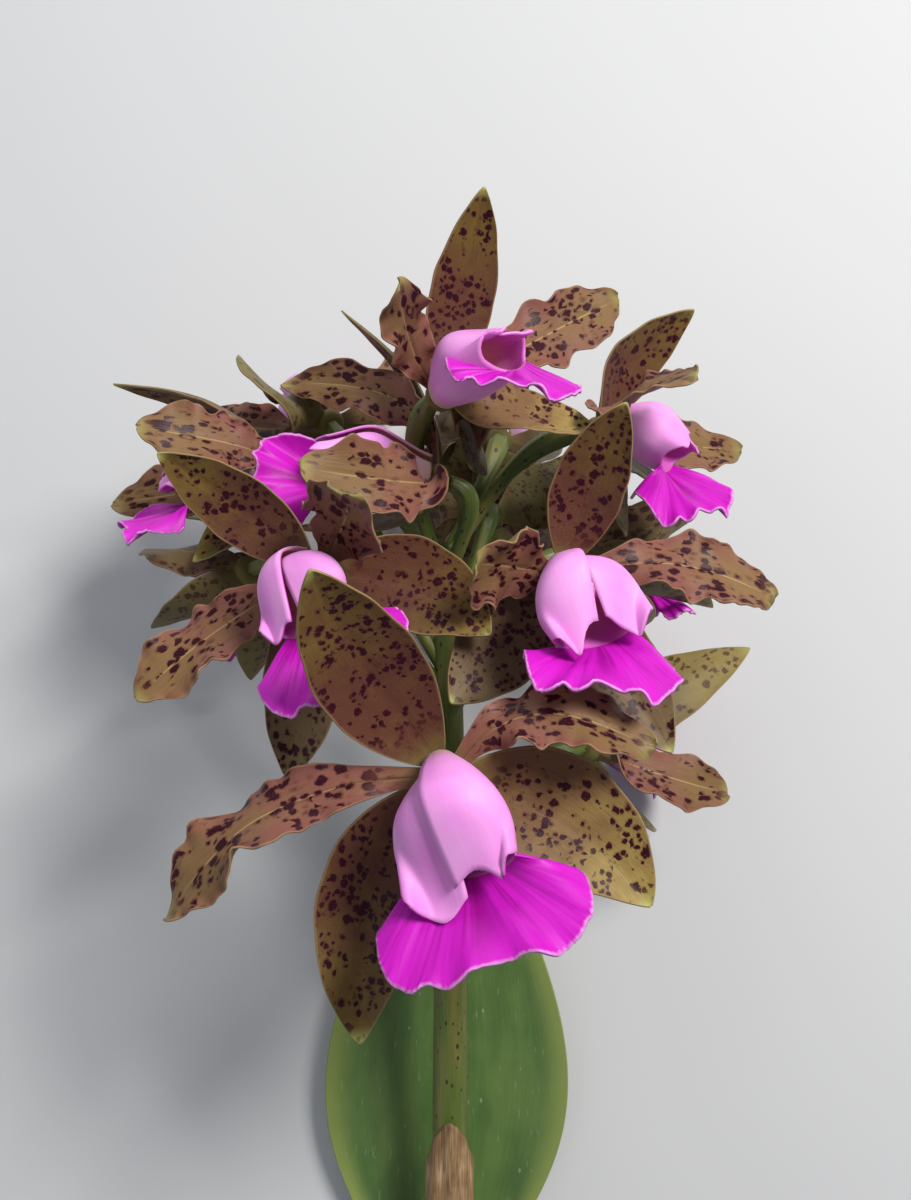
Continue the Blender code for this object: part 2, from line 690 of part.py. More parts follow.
def clear_scene():
    """Removes what the opened scene holds."""
    for thing in list(bpy.data.objects):
        bpy.data.objects.remove(thing)


@dataclass(frozen=True)
class Finish:
    """Plain colour and roughness of a kind of piece."""

    colour: tuple
    roughness: float


SPOTTED_BRONZE = Finish((0.22, 0.11, 0.035), 0.45)
MAGENTA = Finish((0.62, 0.06, 0.5), 0.4)
BLUSH = Finish((0.85, 0.55, 0.6), 0.4)
STEM_GREEN = Finish((0.15, 0.19, 0.03), 0.5)
LEAF_GREEN = Finish((0.1, 0.2, 0.02), 0.4)
DRY_SHEATH = Finish((0.36, 0.22, 0.1), 0.8)


def paint(piece, finish):
    """Gives a piece a plain material of its own."""
    made = bpy.data.materials.new(piece.name)
    made.use_nodes = True
    shader = made.node_tree.nodes["Principled BSDF"]
    shader.inputs["Base Color"].default_value = (*finish.colour, 1.0)
    shader.inputs["Roughness"].default_value = finish.roughness
    piece.data.materials.clear()
    piece.data.materials.append(made)


def body(name, solid, collection=None):
    """A mesh object from points in millimetres and triangles."""
    points, faces = solid
    mesh = bpy.data.meshes.new(name)
    mesh.from_pydata((np.asarray(points) * MM).tolist(), [], [tuple(face) for face in faces])
    mesh.update()
    made = bpy.data.objects.new(name, mesh)
    (collection or bpy.context.scene.collection).objects.link(made)
    return made


def fused(name, solids):
    """One object from several closed solids that overlap, joined by a Boolean union."""
    whole = body(name, solids[0])
    others = bpy.data.collections.new(name + "_parts")
    bpy.context.scene.collection.children.link(others)
    for number, solid in enumerate(solids[1:]):
        body(f"{name}_part_{number}", solid, others)
    join = whole.modifiers.new("join", "BOOLEAN")
    join.operation = "UNION"
    join.operand_type = "COLLECTION"
    join.collection = others
    join.solver = "MANIFOLD"
    graph = bpy.context.evaluated_depsgraph_get()
    joined = bpy.data.meshes.new_from_object(whole.evaluated_get(graph))
    whole.modifiers.clear()
    whole.data = joined
    for part in list(others.objects):
        bpy.data.objects.remove(part)
    bpy.data.collections.remove(others)
    return whole


def hub_solid(bloom):
    """The small swelling where a bloom's blades meet, flattened along its face."""
    face = unit(bloom.face)
    path = [face * offset for offset in (-HUB_HALF_DEPTH, -0.5, 0.5, HUB_HALF_DEPTH)]
    radii = (0.62 * HUB_RADIUS, HUB_RADIUS, HUB_RADIUS, 0.62 * HUB_RADIUS)
    return rod_solid(path, radii, 8, up=bloom.dorsal.tip)


def tepals_of(bloom):
    """Sepals, petals and hub of a bloom, as one body."""
    blades = [(bloom.dorsal, bloom.sepal_form)]
    blades += [(blade, bloom.petal_form) for blade in bloom.petals]
    blades += [(blade, bloom.sepal_form) for blade in bloom.laterals]
    solids = [hub_solid(bloom)] + [blade_solid(blade, form, bloom.face) for blade, form in blades]
    return fused(bloom.name + "_tepals", solids)


def lip_of(bloom):
    """A bloom's lip, as one body."""
    return body(bloom.name + "_lip", thickened(*lip_sheet(bloom), bloom.lip.form.wall))


def column_of(bloom):
    """The column inside the lip's tube, with its round cap."""
    radius = bloom.lip.form.column_radius
    path = column_path(bloom)
    radii = (radius * 0.9, radius, radius * 1.1, radius * 1.25, radius * 0.7)
    solid = rod_solid(path, radii, bloom.lip.form.column_sides, up=bloom.dorsal.tip)
    return body(bloom.name + "_column", solid)


def stem_line(height):
    """Middle of the stem at a height."""
    height = np.asarray(height, float)
    bend = -2.0 + 1.5 * smooth(-60.0, -200.0, -height) - 0.8 * np.sin(height / 60.0)
    return np.stack([bend, height, np.zeros_like(height)], -1)


def stalk_solid(bloom):
    """A bloom's stalk and ovary, from inside the stem to just behind the hub."""
    start = stem_line(bloom.stalk_from)
    face = unit(bloom.face)
    end = np.array(bloom.hub, float) - face * (HUB_HALF_DEPTH + GAP + 0.2)
    length = np.linalg.norm(end - start)
    outward = unit((end[0] - start[0], 0.0, end[2] - start[2]))
    aside = np.array(bloom.stalk_by, float)
    leave = start + 0.38 * length * unit(0.55 * outward + np.array([0.0, 0.85, 0.0])) + 1.8 * aside
    arrive = end - 0.38 * length * face + 0.8 * square_to(aside + 1e-9, face) * np.linalg.norm(aside)
    share = np.linspace(0.0, 1.0, PEDICEL_ROWS + 1)[:, None]
    rest = 1 - share
    path = rest**3 * start + 3 * rest**2 * share * leave + 3 * rest * share**2 * arrive + share**3 * end
    radii = PEDICEL_RADIUS + (OVARY_RADIUS - PEDICEL_RADIUS) * smooth(0.45, 0.8, share[:, 0])
    radii = radii * (1 - 0.3 * smooth(0.85, 1.0, share[:, 0]))
    return rod_solid(path, radii, PEDICEL_SIDES, up=(0.1, 0.2, 1.0))


def flower_stem():
    """Stem and all stalks, as one body."""
    heights = np.linspace(CANE_TOP + GAP, STEM_TOP, STEM_ROWS + 1)
    radii = STEM_RADIUS_LOW + (STEM_RADIUS_TOP - STEM_RADIUS_LOW) * smooth(-120.0, STEM_TOP, heights)
    stem = rod_solid(stem_line(heights), radii, STEM_SIDES)
    return fused("flower_stem", [stem] + [stalk_solid(bloom) for bloom in BLOOMS])


def leaf():
    """The one leaf, behind the stem."""
    blade = Blade(tip=LEAF_REACH, looks=(0.0, 0.25, 1.0), width=LEAF_WIDTH, bow=-2)
    points, faces = blade_solid(blade, LEAF, face=(0.0, 0.3, 1.0), root=0.5)
    return body("leaf", (points + np.array(LEAF_BASE), faces))


def sheath():
    """Dry sheath wrapped round the front of the stem, with a pointed top."""
    rows, columns = 6, 8
    around = np.linspace(-SHEATH_WRAP, SHEATH_WRAP, columns + 1)
    top = SHEATH_TOP - 7.0 * np.abs(around) ** 1.3
    low = CANE_TOP + GAP
    share = np.linspace(0.0, 1.0, rows + 1)[:, None]
    height = low + (top - low) * share
    radius = STEM_RADIUS_LOW + GAP + SHEATH_WALL / 2 + 0.1 + SHEATH_FLARE * (1 - share) ** 2
    middle = stem_line(height)
    grid = np.stack([radius * np.sin(around), 0 * height, radius * np.cos(around)], -1) + middle
    return body("sheath", thickened(grid, sheet_faces(rows, columns), SHEATH_WALL))


def upright():
    """The surface's upward direction on the shoot's axes, once the shoot lies on it."""
    level = math.cos(LAY_ROLL)
    return np.array([-math.sin(LAY_ROLL), level * math.sin(LAY_TILT), level * math.cos(LAY_TILT)])


def cane():
    """Cut top of the cane that the stem and leaf grow from, with a flat to lie on."""
    heights = np.array([CANE_END, CANE_END + 8, CANE_TOP - 10, CANE_TOP - 3, CANE_TOP])
    radii = CANE_RADIUS * np.array([1.0, 1.0, 0.96, 0.88, 0.8])
    points, faces = rod_solid(stem_line(heights), radii, CANE_SIDES)
    above = points @ upright() + LAY_PLACE[2]
    return body("cane", (points - np.minimum(above, 0.0)[:, None] * upright(), faces))


def main():
    """Models the shoot and lays it down."""
    clear_scene()
    shoot = bpy.data.objects.new("shoot", None)
    bpy.context.scene.collection.objects.link(shoot)
    pieces = [(flower_stem(), STEM_GREEN), (leaf(), LEAF_GREEN)]
    pieces += [(sheath(), DRY_SHEATH), (cane(), STEM_GREEN)]
    for bloom in BLOOMS:
        made = [(tepals_of(bloom), SPOTTED_BRONZE), (lip_of(bloom), MAGENTA)]
        made.append((column_of(bloom), BLUSH))
        for piece, _ in made:
            piece.location = np.array(bloom.hub, float) * MM
        pieces += made
    for piece, finish in pieces:
        paint(piece, finish)
        piece.parent = shoot
    shoot.rotation_euler = (LAY_TILT, LAY_ROLL, 0.0)
    shoot.location = np.array(LAY_PLACE) * MM


if __name__ == "__main__":
    main()
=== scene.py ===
"""Looks of a cattleya orchid's cut flowering shoot, which lies on a pale floor.

Sizes are in millimetres on the shoot's own axes: +X to its right, +Y along the stem
towards the blooms, +Z out of the side that most blooms face. Lay turns them into the
frame's metres. Each solid of the frame gets a finer piece of the same form in its place.
"""

from __future__ import annotations

import logging
import math
from dataclasses import dataclass
from enum import Enum

import bpy
import numpy as np
from mathutils import Euler, Matrix, Vector


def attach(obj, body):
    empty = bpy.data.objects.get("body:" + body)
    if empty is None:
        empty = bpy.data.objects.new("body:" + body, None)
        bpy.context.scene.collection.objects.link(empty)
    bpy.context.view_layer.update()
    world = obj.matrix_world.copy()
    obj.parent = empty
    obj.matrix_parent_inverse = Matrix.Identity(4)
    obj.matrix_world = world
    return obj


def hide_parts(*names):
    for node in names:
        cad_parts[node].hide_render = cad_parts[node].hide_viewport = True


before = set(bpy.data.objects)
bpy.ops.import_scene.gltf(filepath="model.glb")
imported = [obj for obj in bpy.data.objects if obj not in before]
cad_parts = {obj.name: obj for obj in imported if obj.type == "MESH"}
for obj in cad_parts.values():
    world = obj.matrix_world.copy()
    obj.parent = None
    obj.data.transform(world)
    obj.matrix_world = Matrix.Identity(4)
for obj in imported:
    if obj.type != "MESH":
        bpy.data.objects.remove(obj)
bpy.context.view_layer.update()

log = logging.getLogger("orchid")

Array = np.ndarray
Triple = tuple[float, float, float]
Faces = list[tuple[int, ...]]

MM = 0.001
GAP = 0.3  # between two pieces that touch
CANE_TOP = -194.0  # height of the cane's top along the stem

# Hub that a bloom's sepals and petals grow from
HUB_RADIUS = 3.7
HUB_HALF_DEPTH = 2.1
HUB_END = 0.35  # radius of its flat ends, as a share of its own
HUB_ROWS = 13
HUB_SIDES = 24
ROOT_START = 1.8  # a blade's root lies this far from the hub's middle
LEAN_START = 1.5  # how far forward a blade's bend may lie
HUB_CLEAR = HUB_HALF_DEPTH + GAP + 0.2  # from the hub's middle to the lip, and to the stalk

# A blade's outline, as shares of its length or of its widest
PETAL_CLAW = 0.24  # a petal's width near its root
PETAL_CLOSES = 0.66  # where a petal starts to close
SEPAL_WIDEST = 0.45  # where a sepal is widest
ROOT_WIDTH = 0.17  # a sepal's least width at its root
LEAF_ROOT_WIDTH = 0.16
ROW_CROWDING = 1.2  # above 1, a blade's rows lie closer together towards its tip

# Waves and frills run apart on a blade's two edges, by these radians each way
WAVE_SHIFT = 1.9
FRILL_SHIFT = 2.3

NUMBER_STEP = 11.0  # between the numbers that set one bloom's blades apart


def unit(vector: Array | Triple) -> Array:
    """The direction of a vector, or of each row of them."""
    vector = np.asarray(vector, float)
    return vector / (np.linalg.norm(vector, axis=-1, keepdims=True) + 1e-12)


def square_to(vector: Array | Triple, axis: Array | Triple) -> Array:
    """The direction nearest to a vector that stands square to an axis, row by row.

    Args:
        vector: one vector, or a row for each point.
        axis: the same, to stand square to.

    Returns:
        Directions of length 1.
    """
    vector = np.asarray(vector, float)
    axis = np.asarray(axis, float)
    return unit(vector - (vector * axis).sum(-1, keepdims=True) * axis)


def smooth(low: float, high: float, value: Array | float) -> Array:
    """0 below low, 1 above high, and an even S between them."""
    share = np.clip((value - low) / (high - low), 0.0, 1.0)
    return share * share * (3.0 - 2.0 * share)


def hump(middle: float, width: float, value: Array) -> Array:
    """A bell of height 1 round a middle."""
    return np.exp(-(((value - middle) / width) ** 2))


def arc_path(start: Array, bend: Array, end: Array, share: Array) -> tuple[Array, Array]:
    """Points and directions of the arc from start to end that leans towards bend.

    Args:
        start: its first point.
        bend: the point that it leans towards.
        end: its last point.
        share: shares of the way from 0 to 1.

    Returns:
        A point and a direction for each share.
    """
    share = np.asarray(share, float)[:, None]
    points = (1 - share) ** 2 * start + 2 * share * (1 - share) * bend + share**2 * end
    along = 2 * (1 - share) * (bend - start) + 2 * share * (end - bend)
    return points, unit(along)


def round_turns(sides: int) -> Array:
    """Angles of the corners of something round, in radians."""
    return 2 * math.pi * (np.arange(sides) + 0.5) / sides


def triples(*parts: Array | float) -> Array:
    """Rows of three numbers, one row for each point of a grid."""
    return np.stack(np.broadcast_arrays(*parts), -1).reshape(-1, 3).astype(float)


@dataclass(frozen=True)
class Lay:
    """How the shoot lies on the surface: on its back, with its head raised."""

    tilt: float = math.radians(10.4)
    roll: float = math.radians(1.5)
    place: Triple = (7.4, 67.6, 47.5)  # where the shoot's own origin comes to be

    def matrix(self) -> Matrix:
        """Turns the shoot's axes, in metres, into the frame's."""
        turned = Euler((self.tilt, self.roll, 0.0)).to_matrix().to_4x4()
        return Matrix.Translation(Vector(self.place) * MM) @ turned

    def settle(self, points: Array) -> Array:
        """Points in millimetres on the shoot's axes, as metres in the frame."""
        matrix = np.array(self.matrix())
        return (points * MM) @ matrix[:3, :3].T + matrix[:3, 3]

    def upright(self) -> Array:
        """The surface's upward direction on the shoot's axes."""
        return np.array(self.matrix())[2, :3]


LAY = Lay()


@dataclass
class Shell:
    """A piece's surface before it is a mesh, with values that its finish reads.

    Attributes:
        points: one row of three for each point, in millimetres on the shoot's axes.
        faces: corners of each face, counted from 0.
        fields: three numbers for each point, by name.
    """

    points: Array
    faces: Faces
    fields: dict[str, Array]

    def joined(self, others: list[Shell]) -> Shell:
        """This shell and others as one.

        Args:
            others: shells with at least the fields of this one.

        Returns:
            One shell, this one's points first.
        """
        shells = [self, *others]
        offsets = np.cumsum([0] + [len(shell.points) for shell in shells[:-1]])
        faces = [
            tuple(corner + int(offset) for corner in face)
            for shell, offset in zip(shells, offsets)
            for face in shell.faces
        ]
        fields = {
            name: np.concatenate([shell.fields[name] for shell in shells]) for name in self.fields
        }
        return Shell(np.concatenate([shell.points for shell in shells]), faces, fields)

    def piece(self, name: str) -> bpy.types.Object:
        """A smooth mesh object in the frame, with the fields as its attributes.

        Args:
            name: the object's name.

        Returns:
            The object, linked to the scene.
        """
        mesh = bpy.data.meshes.new(name)
        mesh.from_pydata(LAY.settle(self.points).tolist(), [], self.faces)
        for title, values in self.fields.items():
            made = mesh.attributes.new(title, "FLOAT_VECTOR", "POINT")
            made.data.foreach_set("vector", np.ascontiguousarray(values, np.float32).ravel())
        mesh.shade_smooth()
        mesh.update()
        made_object = bpy.data.objects.new(name, mesh)
        bpy.context.scene.collection.objects.link(made_object)
        return made_object


def grid_faces(rows: int, columns: int, start: int = 0, around: bool = False) -> Faces:
    """Four-cornered faces of a grid of points.

    Args:
        rows: steps along the grid.
        columns: steps across it.
        start: number of the grid's first point.
        around: whether the last column meets the first, which then isn't repeated.

    Returns:
        The faces, seen from the side that the rows turn left towards.
    """
    step = columns if around else columns + 1
    faces = []
    for row in range(rows):
        for column in range(columns):
            low = start + row * step + column
            side = start + row * step + (column + 1) % step
            faces.append((low, side, side + step, low + step))
    return faces


def joined_rows(first: list[int], second: list[int]) -> Faces:
    """Triangles between two rows of points that hold different numbers of points.

    Args:
        first: numbers of the one row's points, in order.
        second: numbers of the other's.

    Returns:
        The triangles.
    """
    faces: Faces = []
    i = j = 0
    while i < len(first) - 1 or j < len(second) - 1:
        reach_first = (i + 1) / (len(first) - 1) if i < len(first) - 1 else 2.0
        reach_second = (j + 1) / (len(second) - 1) if j < len(second) - 1 else 2.0
        if reach_first <= reach_second:
            faces.append((first[i], first[i + 1], second[j]))
            i += 1
        else:
            faces.append((first[i], second[j + 1], second[j]))
            j += 1
    return faces


def thickened(sheet: Shell, thickness: Array | float) -> Shell:
    """Closed shell round a sheet: its two skins and its rim.

    Args:
        sheet: the middle of the sheet, seen from its inner face.
        thickness: one number for all, or one for each point.

    Returns:
        The shell, with a field called skin: 1 on the inner face and -1 on the outer.
    """
    points = sheet.points
    normal = np.zeros_like(points)
    for corners in (3, 4):
        faces = np.array([face for face in sheet.faces if len(face) == corners])
        if len(faces):
            whole = corners == 4
            low, high, turned = (1, 3, 1.0) if whole else (0, 1, -1.0)
            first = points[faces[:, 2]] - points[faces[:, 0]]
            second = points[faces[:, high]] - points[faces[:, low]]
            facing = np.cross(first, second) * turned
            for place in range(corners):
                np.add.at(normal, faces[:, place], facing)
    half = np.broadcast_to(np.ravel(thickness), len(points))[:, None] / 2
    count = len(points)
    faces = list(sheet.faces)
    faces += [tuple(corner + count for corner in reversed(face)) for face in sheet.faces]
    edges = {(face[i - 1], face[i]) for face in sheet.faces for i in range(len(face))}
    for a, b in sorted(edges):
        if (b, a) not in edges:
            faces.append((b, a, a + count, b + count))
    normal = unit(normal)
    fields = {name: np.concatenate([values, values]) for name, values in sheet.fields.items()}
    skin = np.zeros((2 * count, 3))
    skin[:, 0] = np.repeat((1.0, -1.0), count)
    fields["skin"] = skin
    return Shell(np.concatenate([points + half * normal, points - half * normal]), faces, fields)


def rod(
    path: Array, radii: Array, sides: int, up: Triple = (0.0, 0.0, 1.0), number: float = 0.0
) -> Shell:
    """Closed round rod along a path.

    Args:
        path: points along its middle.
        radii: a radius at each point, or one for each point and side.
        sides: corners round it.
        up: the way its first side is counted from.
        number: sets it apart from other rods in its finish.

    Returns:
        The rod, with its place (share along, share around, number) and its sheet in
        millimetres as fields.
    """
    path = np.asarray(path, float)
    along = unit(np.gradient(path, axis=0, edge_order=2))
    side = square_to(np.cross(along, np.asarray(up, float)), along)
    other = np.cross(along, side)
    turn = round_turns(sides)
    radii = np.asarray(radii, float)
    radii = radii[:, None] if radii.ndim == 1 else radii
    ring = np.cos(turn)[:, None] * side[:, None] + np.sin(turn)[:, None] * other[:, None]
    points = (path[:, None] + (radii + 0 * turn)[:, :, None] * ring).reshape(-1, 3)
    rows = len(path)
    faces = grid_faces(rows - 1, sides, around=True)
    first, last = rows * sides, rows * sides + 1
    for column in range(sides):
        following = (column + 1) % sides
        faces.append((following, column, first))
        faces.append(((rows - 1) * sides + column, (rows - 1) * sides + following, last))
    lengths = np.concatenate([[0.0], np.cumsum(np.linalg.norm(np.diff(path, axis=0), axis=1))])
    share = np.repeat(lengths / lengths[-1], sides)
    around = np.tile(np.arange(sides) / sides, rows)
    place = triples(share, around, number)
    sheet = triples(around * 2 * math.pi * radii.mean(), share * lengths[-1], number)
    ends = [(0.0, 0.0, number), (1.0, 0.0, number)]
    sheet_ends = [(0.0, 0.0, number), (0.0, lengths[-1], number)]
    fields = {"place": np.concatenate([place, ends]), "sheet": np.concatenate([sheet, sheet_ends])}
    return Shell(np.concatenate([points, path[:1], path[-1:]]), faces, fields)


class Outline(Enum):
    """How a blade's width runs from root to tip."""

    SEPAL = 1
    PETAL = 2
    LEAF = 3

    def width(self, share: Array) -> Array:
        """Width as a share of the widest, at these shares of the length.

        Args:
            share: shares of the length, from 0 at the root to 1 at the tip.

        Returns:
            A width for each share.
        """
        if self is Outline.PETAL:
            claw = PETAL_CLAW + (1 - PETAL_CLAW) * smooth(0.02, 0.6, share)
            end = np.clip((share - PETAL_CLOSES) / (1 - PETAL_CLOSES), 0.0, 1.0)
            return claw * np.sqrt(1.0 - 0.98 * end**2.3)
        if self is Outline.LEAF:
            oval = np.clip(np.sin(np.pi * share**1.2), 0.0, 1.0) ** (1.3 - 0.9 * share)
            return np.maximum(oval, LEAF_ROOT_WIDTH * (1.0 - share)) + 0.01
        root = np.sin(np.pi / 2 * np.minimum(share / SEPAL_WIDEST, 1.0)) ** 0.7
        beyond = np.clip((share - SEPAL_WIDEST) / (1 - SEPAL_WIDEST), 0.0, 1.0)
        oval = np.where(share < SEPAL_WIDEST, root, (1.0 - beyond**2) ** 0.85)
        return np.maximum(oval, ROOT_WIDTH * (1.0 - share)) + 0.02


@dataclass(frozen=True)
class BladeForm:
    """What all blades of one kind share, in millimetres and radians."""

    outline: Outline
    rows: int
    columns: int
    cup: float  # how far a half of the cross-section turns up, as an angle
    wave: float = 0.0  # how far the edges rise and fall
    waves: float = 0.0  # rises along one edge
    frill: float = 0.0  # the same for the shorter waves on top
    frills: float = 6.3
    keel: float = 0.3  # depth of the groove along its middle
    thickness: float = 0.95
    edge_thickness: float = 0.4


SEPAL = BladeForm(Outline.SEPAL, rows=44, columns=22, cup=0.42, frill=0.13, frills=3.1)
PETAL = BladeForm(
    Outline.PETAL, rows=64, columns=28, cup=0.22, wave=1.5, waves=2.4, frill=0.5, frills=5.1
)
BACK_SEPAL = BladeForm(Outline.SEPAL, rows=30, columns=14, cup=0.42, frill=0.13, frills=3.1)
BACK_PETAL = BladeForm(
    Outline.PETAL, rows=44, columns=18, cup=0.22, wave=1.4, waves=1.8, frill=0.3, frills=4.4
)
LEAF = BladeForm(
    Outline.LEAF, rows=70, columns=36, cup=0.3, keel=0.8, thickness=1.6, edge_thickness=0.8
)


@dataclass(frozen=True)
class Ground:
    """Colours under a blade's spots, and how it is spotted."""

    main: Triple
    flush_and_shade: Triple  # towards its root and, on a petal, its edges; partly its own flush, partly painted shade
    spots: float  # share of the surface's cells that hold a spot
    stretch: float = 1.0  # how much longer than wide the spots are

    def fields(self, count: int, petal: bool) -> dict[str, Array]:
        """The finish's fields for this many points of a petal, or of something else.

        Args:
            count: how many points.
            petal: whether they are a petal's.

        Returns:
            A row for each point, by the field's name.
        """
        marks = (self.spots, self.stretch, float(petal))
        rows = {"ground": self.main, "flush_and_shade": self.flush_and_shade, "marks": marks}
        return {name: np.tile(row, (count, 1)) for name, row in rows.items()}


class Tone(Enum):
    """Looks that the blooms' sepals and petals come in: their own colours, and a lighter and a
    darker copy of the sepal colour that are painted light and painted shade.
    """

    # Each tone's second colour is its flush, made darker to carry painted shade as well.
    BRONZE = Ground((0.185, 0.118, 0.027), (0.115, 0.041, 0.025), spots=1.0)
    # painted light: a lighter, golden copy of the sepal colour for blades where the light falls
    PAINTED_LIGHT = Ground((0.36, 0.26, 0.075), (0.19, 0.1, 0.045), spots=0.6)
    ROSE = Ground((0.225, 0.13, 0.055), (0.23, 0.085, 0.066), spots=0.85, stretch=1.6)
    # painted shade: a darker, greyer copy of the sepal colour for blades that lie in shade
    PAINTED_SHADE = Ground((0.19, 0.135, 0.065), (0.12, 0.065, 0.035), spots=0.8)
    OLIVE = Ground((0.16, 0.135, 0.034), (0.09, 0.055, 0.018), spots=0.8)


@dataclass(frozen=True)
class Blade:
    """A sepal or petal, from its bloom's hub to its tip, on the shoot's axes."""

    tip: Triple
    looks: Triple  # where its inner face looks
    width: float
    bow: float = 0.0  # how far its middle stands off the chord towards the inner face
    sway: float = 0.0  # the same, to the right as it is looked at with the tip up
    twist: float = 0.0  # degrees that the tip is turned about the length
    hook: float = 0.0  # how far the last third bends towards the inner face
    cup: float = 1.0  # against the cup of its kind
    wave: float = 1.0  # against the waves and frills of its kind
    # two of the tones are painted light and painted shade
    tone: Tone = Tone.BRONZE

    def sheet(self, form: BladeForm, face: Triple, root: float, number: float) -> Shell:
        """Middle of the blade, rows from root to tip.

        Args:
            form: what it shares with its kind.
            face: the way its bloom looks.
            root: how far from the hub's middle it starts.
            number: sets it apart from other blades in its waves and its finish.

        Returns:
            The sheet, seen from its inner face.
        """
        tip = np.array(self.tip, float)
        face = unit(face)
        reach = unit(tip)
        looks = square_to(self.looks, reach)
        side = np.cross(reach, looks)
        start = root * square_to(tip, face)
        bend = (start + tip) / 2 + 2 * (self.bow * looks + self.sway * side)
        bend = bend - max(bend @ face - LEAN_START, 0.0) * face
        share = 1.0 - (1.0 - np.linspace(0.0, 1.0, form.rows + 1)) ** ROW_CROWDING
        across = np.sin(np.linspace(-math.pi / 2, math.pi / 2, form.columns + 1))
        points, _ = arc_path(start, bend, tip, share)
        points = points + 2 * self.hook * smooth(0.55, 1.25, share)[:, None] * looks
        along = unit(np.gradient(points, share, axis=0, edge_order=2))
        turned = smooth(0.0, 0.5, share)[:, None]
        normal = square_to((1 - turned) * face + turned * unit(self.looks), along)
        sideways = np.cross(along, normal)
        turn = np.radians(self.twist) * share[:, None]
        normal, sideways = (
            np.cos(turn) * normal - np.sin(turn) * sideways,
            np.cos(turn) * sideways + np.sin(turn) * normal,
        )
        half = self.width / 2 * form.outline.width(share)
        angle = form.cup * self.cup * across[None, :]
        scale = half[:, None] / (form.cup * self.cup + 1e-6)
        out, up = scale * np.sin(angle), scale * (1 - np.cos(angle))
        out, up = self.ruffled(form, number, (share[:, None], across), (out, up))
        grid = points[:, None, :] + out[..., None] * sideways[:, None, :]
        grid = grid + up[..., None] * normal[:, None, :]
        length = float(np.linalg.norm(np.diff(points, axis=0), axis=1).sum())
        fields = self.tone.value.fields(grid[..., 0].size, form.outline is Outline.PETAL)
        fields["place"] = triples(share[:, None], across, number)
        fields["sheet"] = triples(half[:, None] * across, share[:, None] * length, number)
        return Shell(grid.reshape(-1, 3), grid_faces(form.rows, form.columns), fields)

    def ruffled(
        self,
        form: BladeForm,
        number: float,
        place: tuple[Array, Array],
        section: tuple[Array, Array],
    ) -> tuple[Array, Array]:
        """Waves and frills of the edges, and the groove along the middle.

        Args:
            form: what the blade shares with its kind.
            number: sets its frills apart from other blades'.
            place: share of its length, as a column, and place across it, as a row.
            section: how far each point is out from the middle line and up towards the
                inner face.

        Returns:
            The new out and up.
        """
        share, across = place
        out, up = section
        edge, hand = np.abs(across), np.sign(across)
        if form.wave:
            turns = 2 * math.pi * form.waves * share
            body = smooth(0.12, 0.45, share) * edge**1.8
            up = up + form.wave * self.wave * body * np.sin(turns + WAVE_SHIFT * hand)
            out = out * (1 + 0.1 * body * np.sin(1.7 * turns))
        if form.frill:
            hem = smooth(0.2, 0.5, share) * edge**3 * smooth(1.0, 0.9, share)
            turns = 2 * math.pi * form.frills * share + number + FRILL_SHIFT * hand
            ripple = np.sin(turns + 1.3 * np.sin(0.63 * turns)) + 0.45 * np.sin(2.37 * turns)
            up = up + form.frill * self.wave * hem * ripple
            out = out * (1 + 0.14 * form.frill * hem * np.sin(1.31 * turns + 1.0))
        fold = hump(0.0, 0.07, across) * smooth(1.0, 0.8, share)
        return out, up - form.keel * fold * smooth(0.0, 0.15, share)

    def shell(
        self, form: BladeForm, face: Triple, number: float, root: float = ROOT_START
    ) -> Shell:
        """The blade as a closed shell, thinner towards its edges and its tip.

        Args:
            form: what it shares with its kind.
            face: the way its bloom looks.
            number: sets it apart from other blades.
            root: how far from the hub's middle it starts.

        Returns:
            The shell.
        """
        sheet = self.sheet(form, face, root, number)
        share, across = sheet.fields["place"][:, 0], np.abs(sheet.fields["place"][:, 1])
        thinning = np.maximum(across**1.5, share**3)
        return thickened(sheet, form.thickness + (form.edge_thickness - form.thickness) * thinning)


@dataclass(frozen=True)
class Petal(Blade):
    """A blade in the petals' own tone."""

    tone: Tone = Tone.ROSE


@dataclass(frozen=True)
class LipForm:
    """The labellum: two side lobes rolled to a tube, and a wide fan in front of it."""

    tube_half_width: float = 11.2
    tube_half_height: float = 8.8
    base_radius: float = 3.4
    base_wrap: float = 192.0  # degrees from the floor's middle to a lobe's edge, at the root
    mouth_wrap: float = 176.0  # the same at the mouth
    tube_bend: float = 0.42  # where the tube turns to its mouth, as a share of its length
    floor_reach: float = 0.84  # how far the floor runs, as a share of the tube
    lap: float = 1.6  # how far one lobe's edge stands outside the other's
    lobe_ripple: float = 0.25
    neck: float = 0.25  # share of the tube's columns that the fan grows from
    fan_wave: float = 1.1
    fan_scallop: float = 0.45  # how far the fan's edge runs in and out
    fan_nick: float = 0.25  # the same in small
    fan_fold: float = 1.4  # depth of the fold down the fan's middle
    fan_groove: float = 0.07
    frill: float = 0.9
    fringe: float = 0.2
    wall: float = 0.6
    tube_rows: int = 34
    tube_columns: int = 56
    fan_rows: int = 26
    fan_columns: int = 90


LIP = LipForm()
FRONT_LIP = LipForm(neck=1 / 3, tube_columns=60, fan_columns=120)
BACK_LIP = LipForm(
    tube_half_width=9.0, tube_half_height=7.4,
    tube_rows=20, tube_columns=32, fan_rows=14, fan_columns=54,
)


@dataclass(frozen=True)
class ColumnForm:
    """The column in the lip's tube, and the round cap on its end."""

    radius: float = 2.3
    lift: float = 0.25  # how far it lies above the tube's middle, as a share of its half height
    rows: int = 34
    sides: int = 28
    round_from: float = 0.82  # share of its length where its end rounds off
    notch: float = 0.5  # depth of the hollow under its tip, as a share of its radius
    cap_radius: float = 1.12  # the cap's sizes are in column radii
    cap_half_length: float = 1.05
    cap_lift: float = 0.35
    cap_rows: int = 12
    cap_sides: int = 20


COLUMN = ColumnForm()
CAP_NUMBER = -1.0  # tells the finish that a point is on a cap


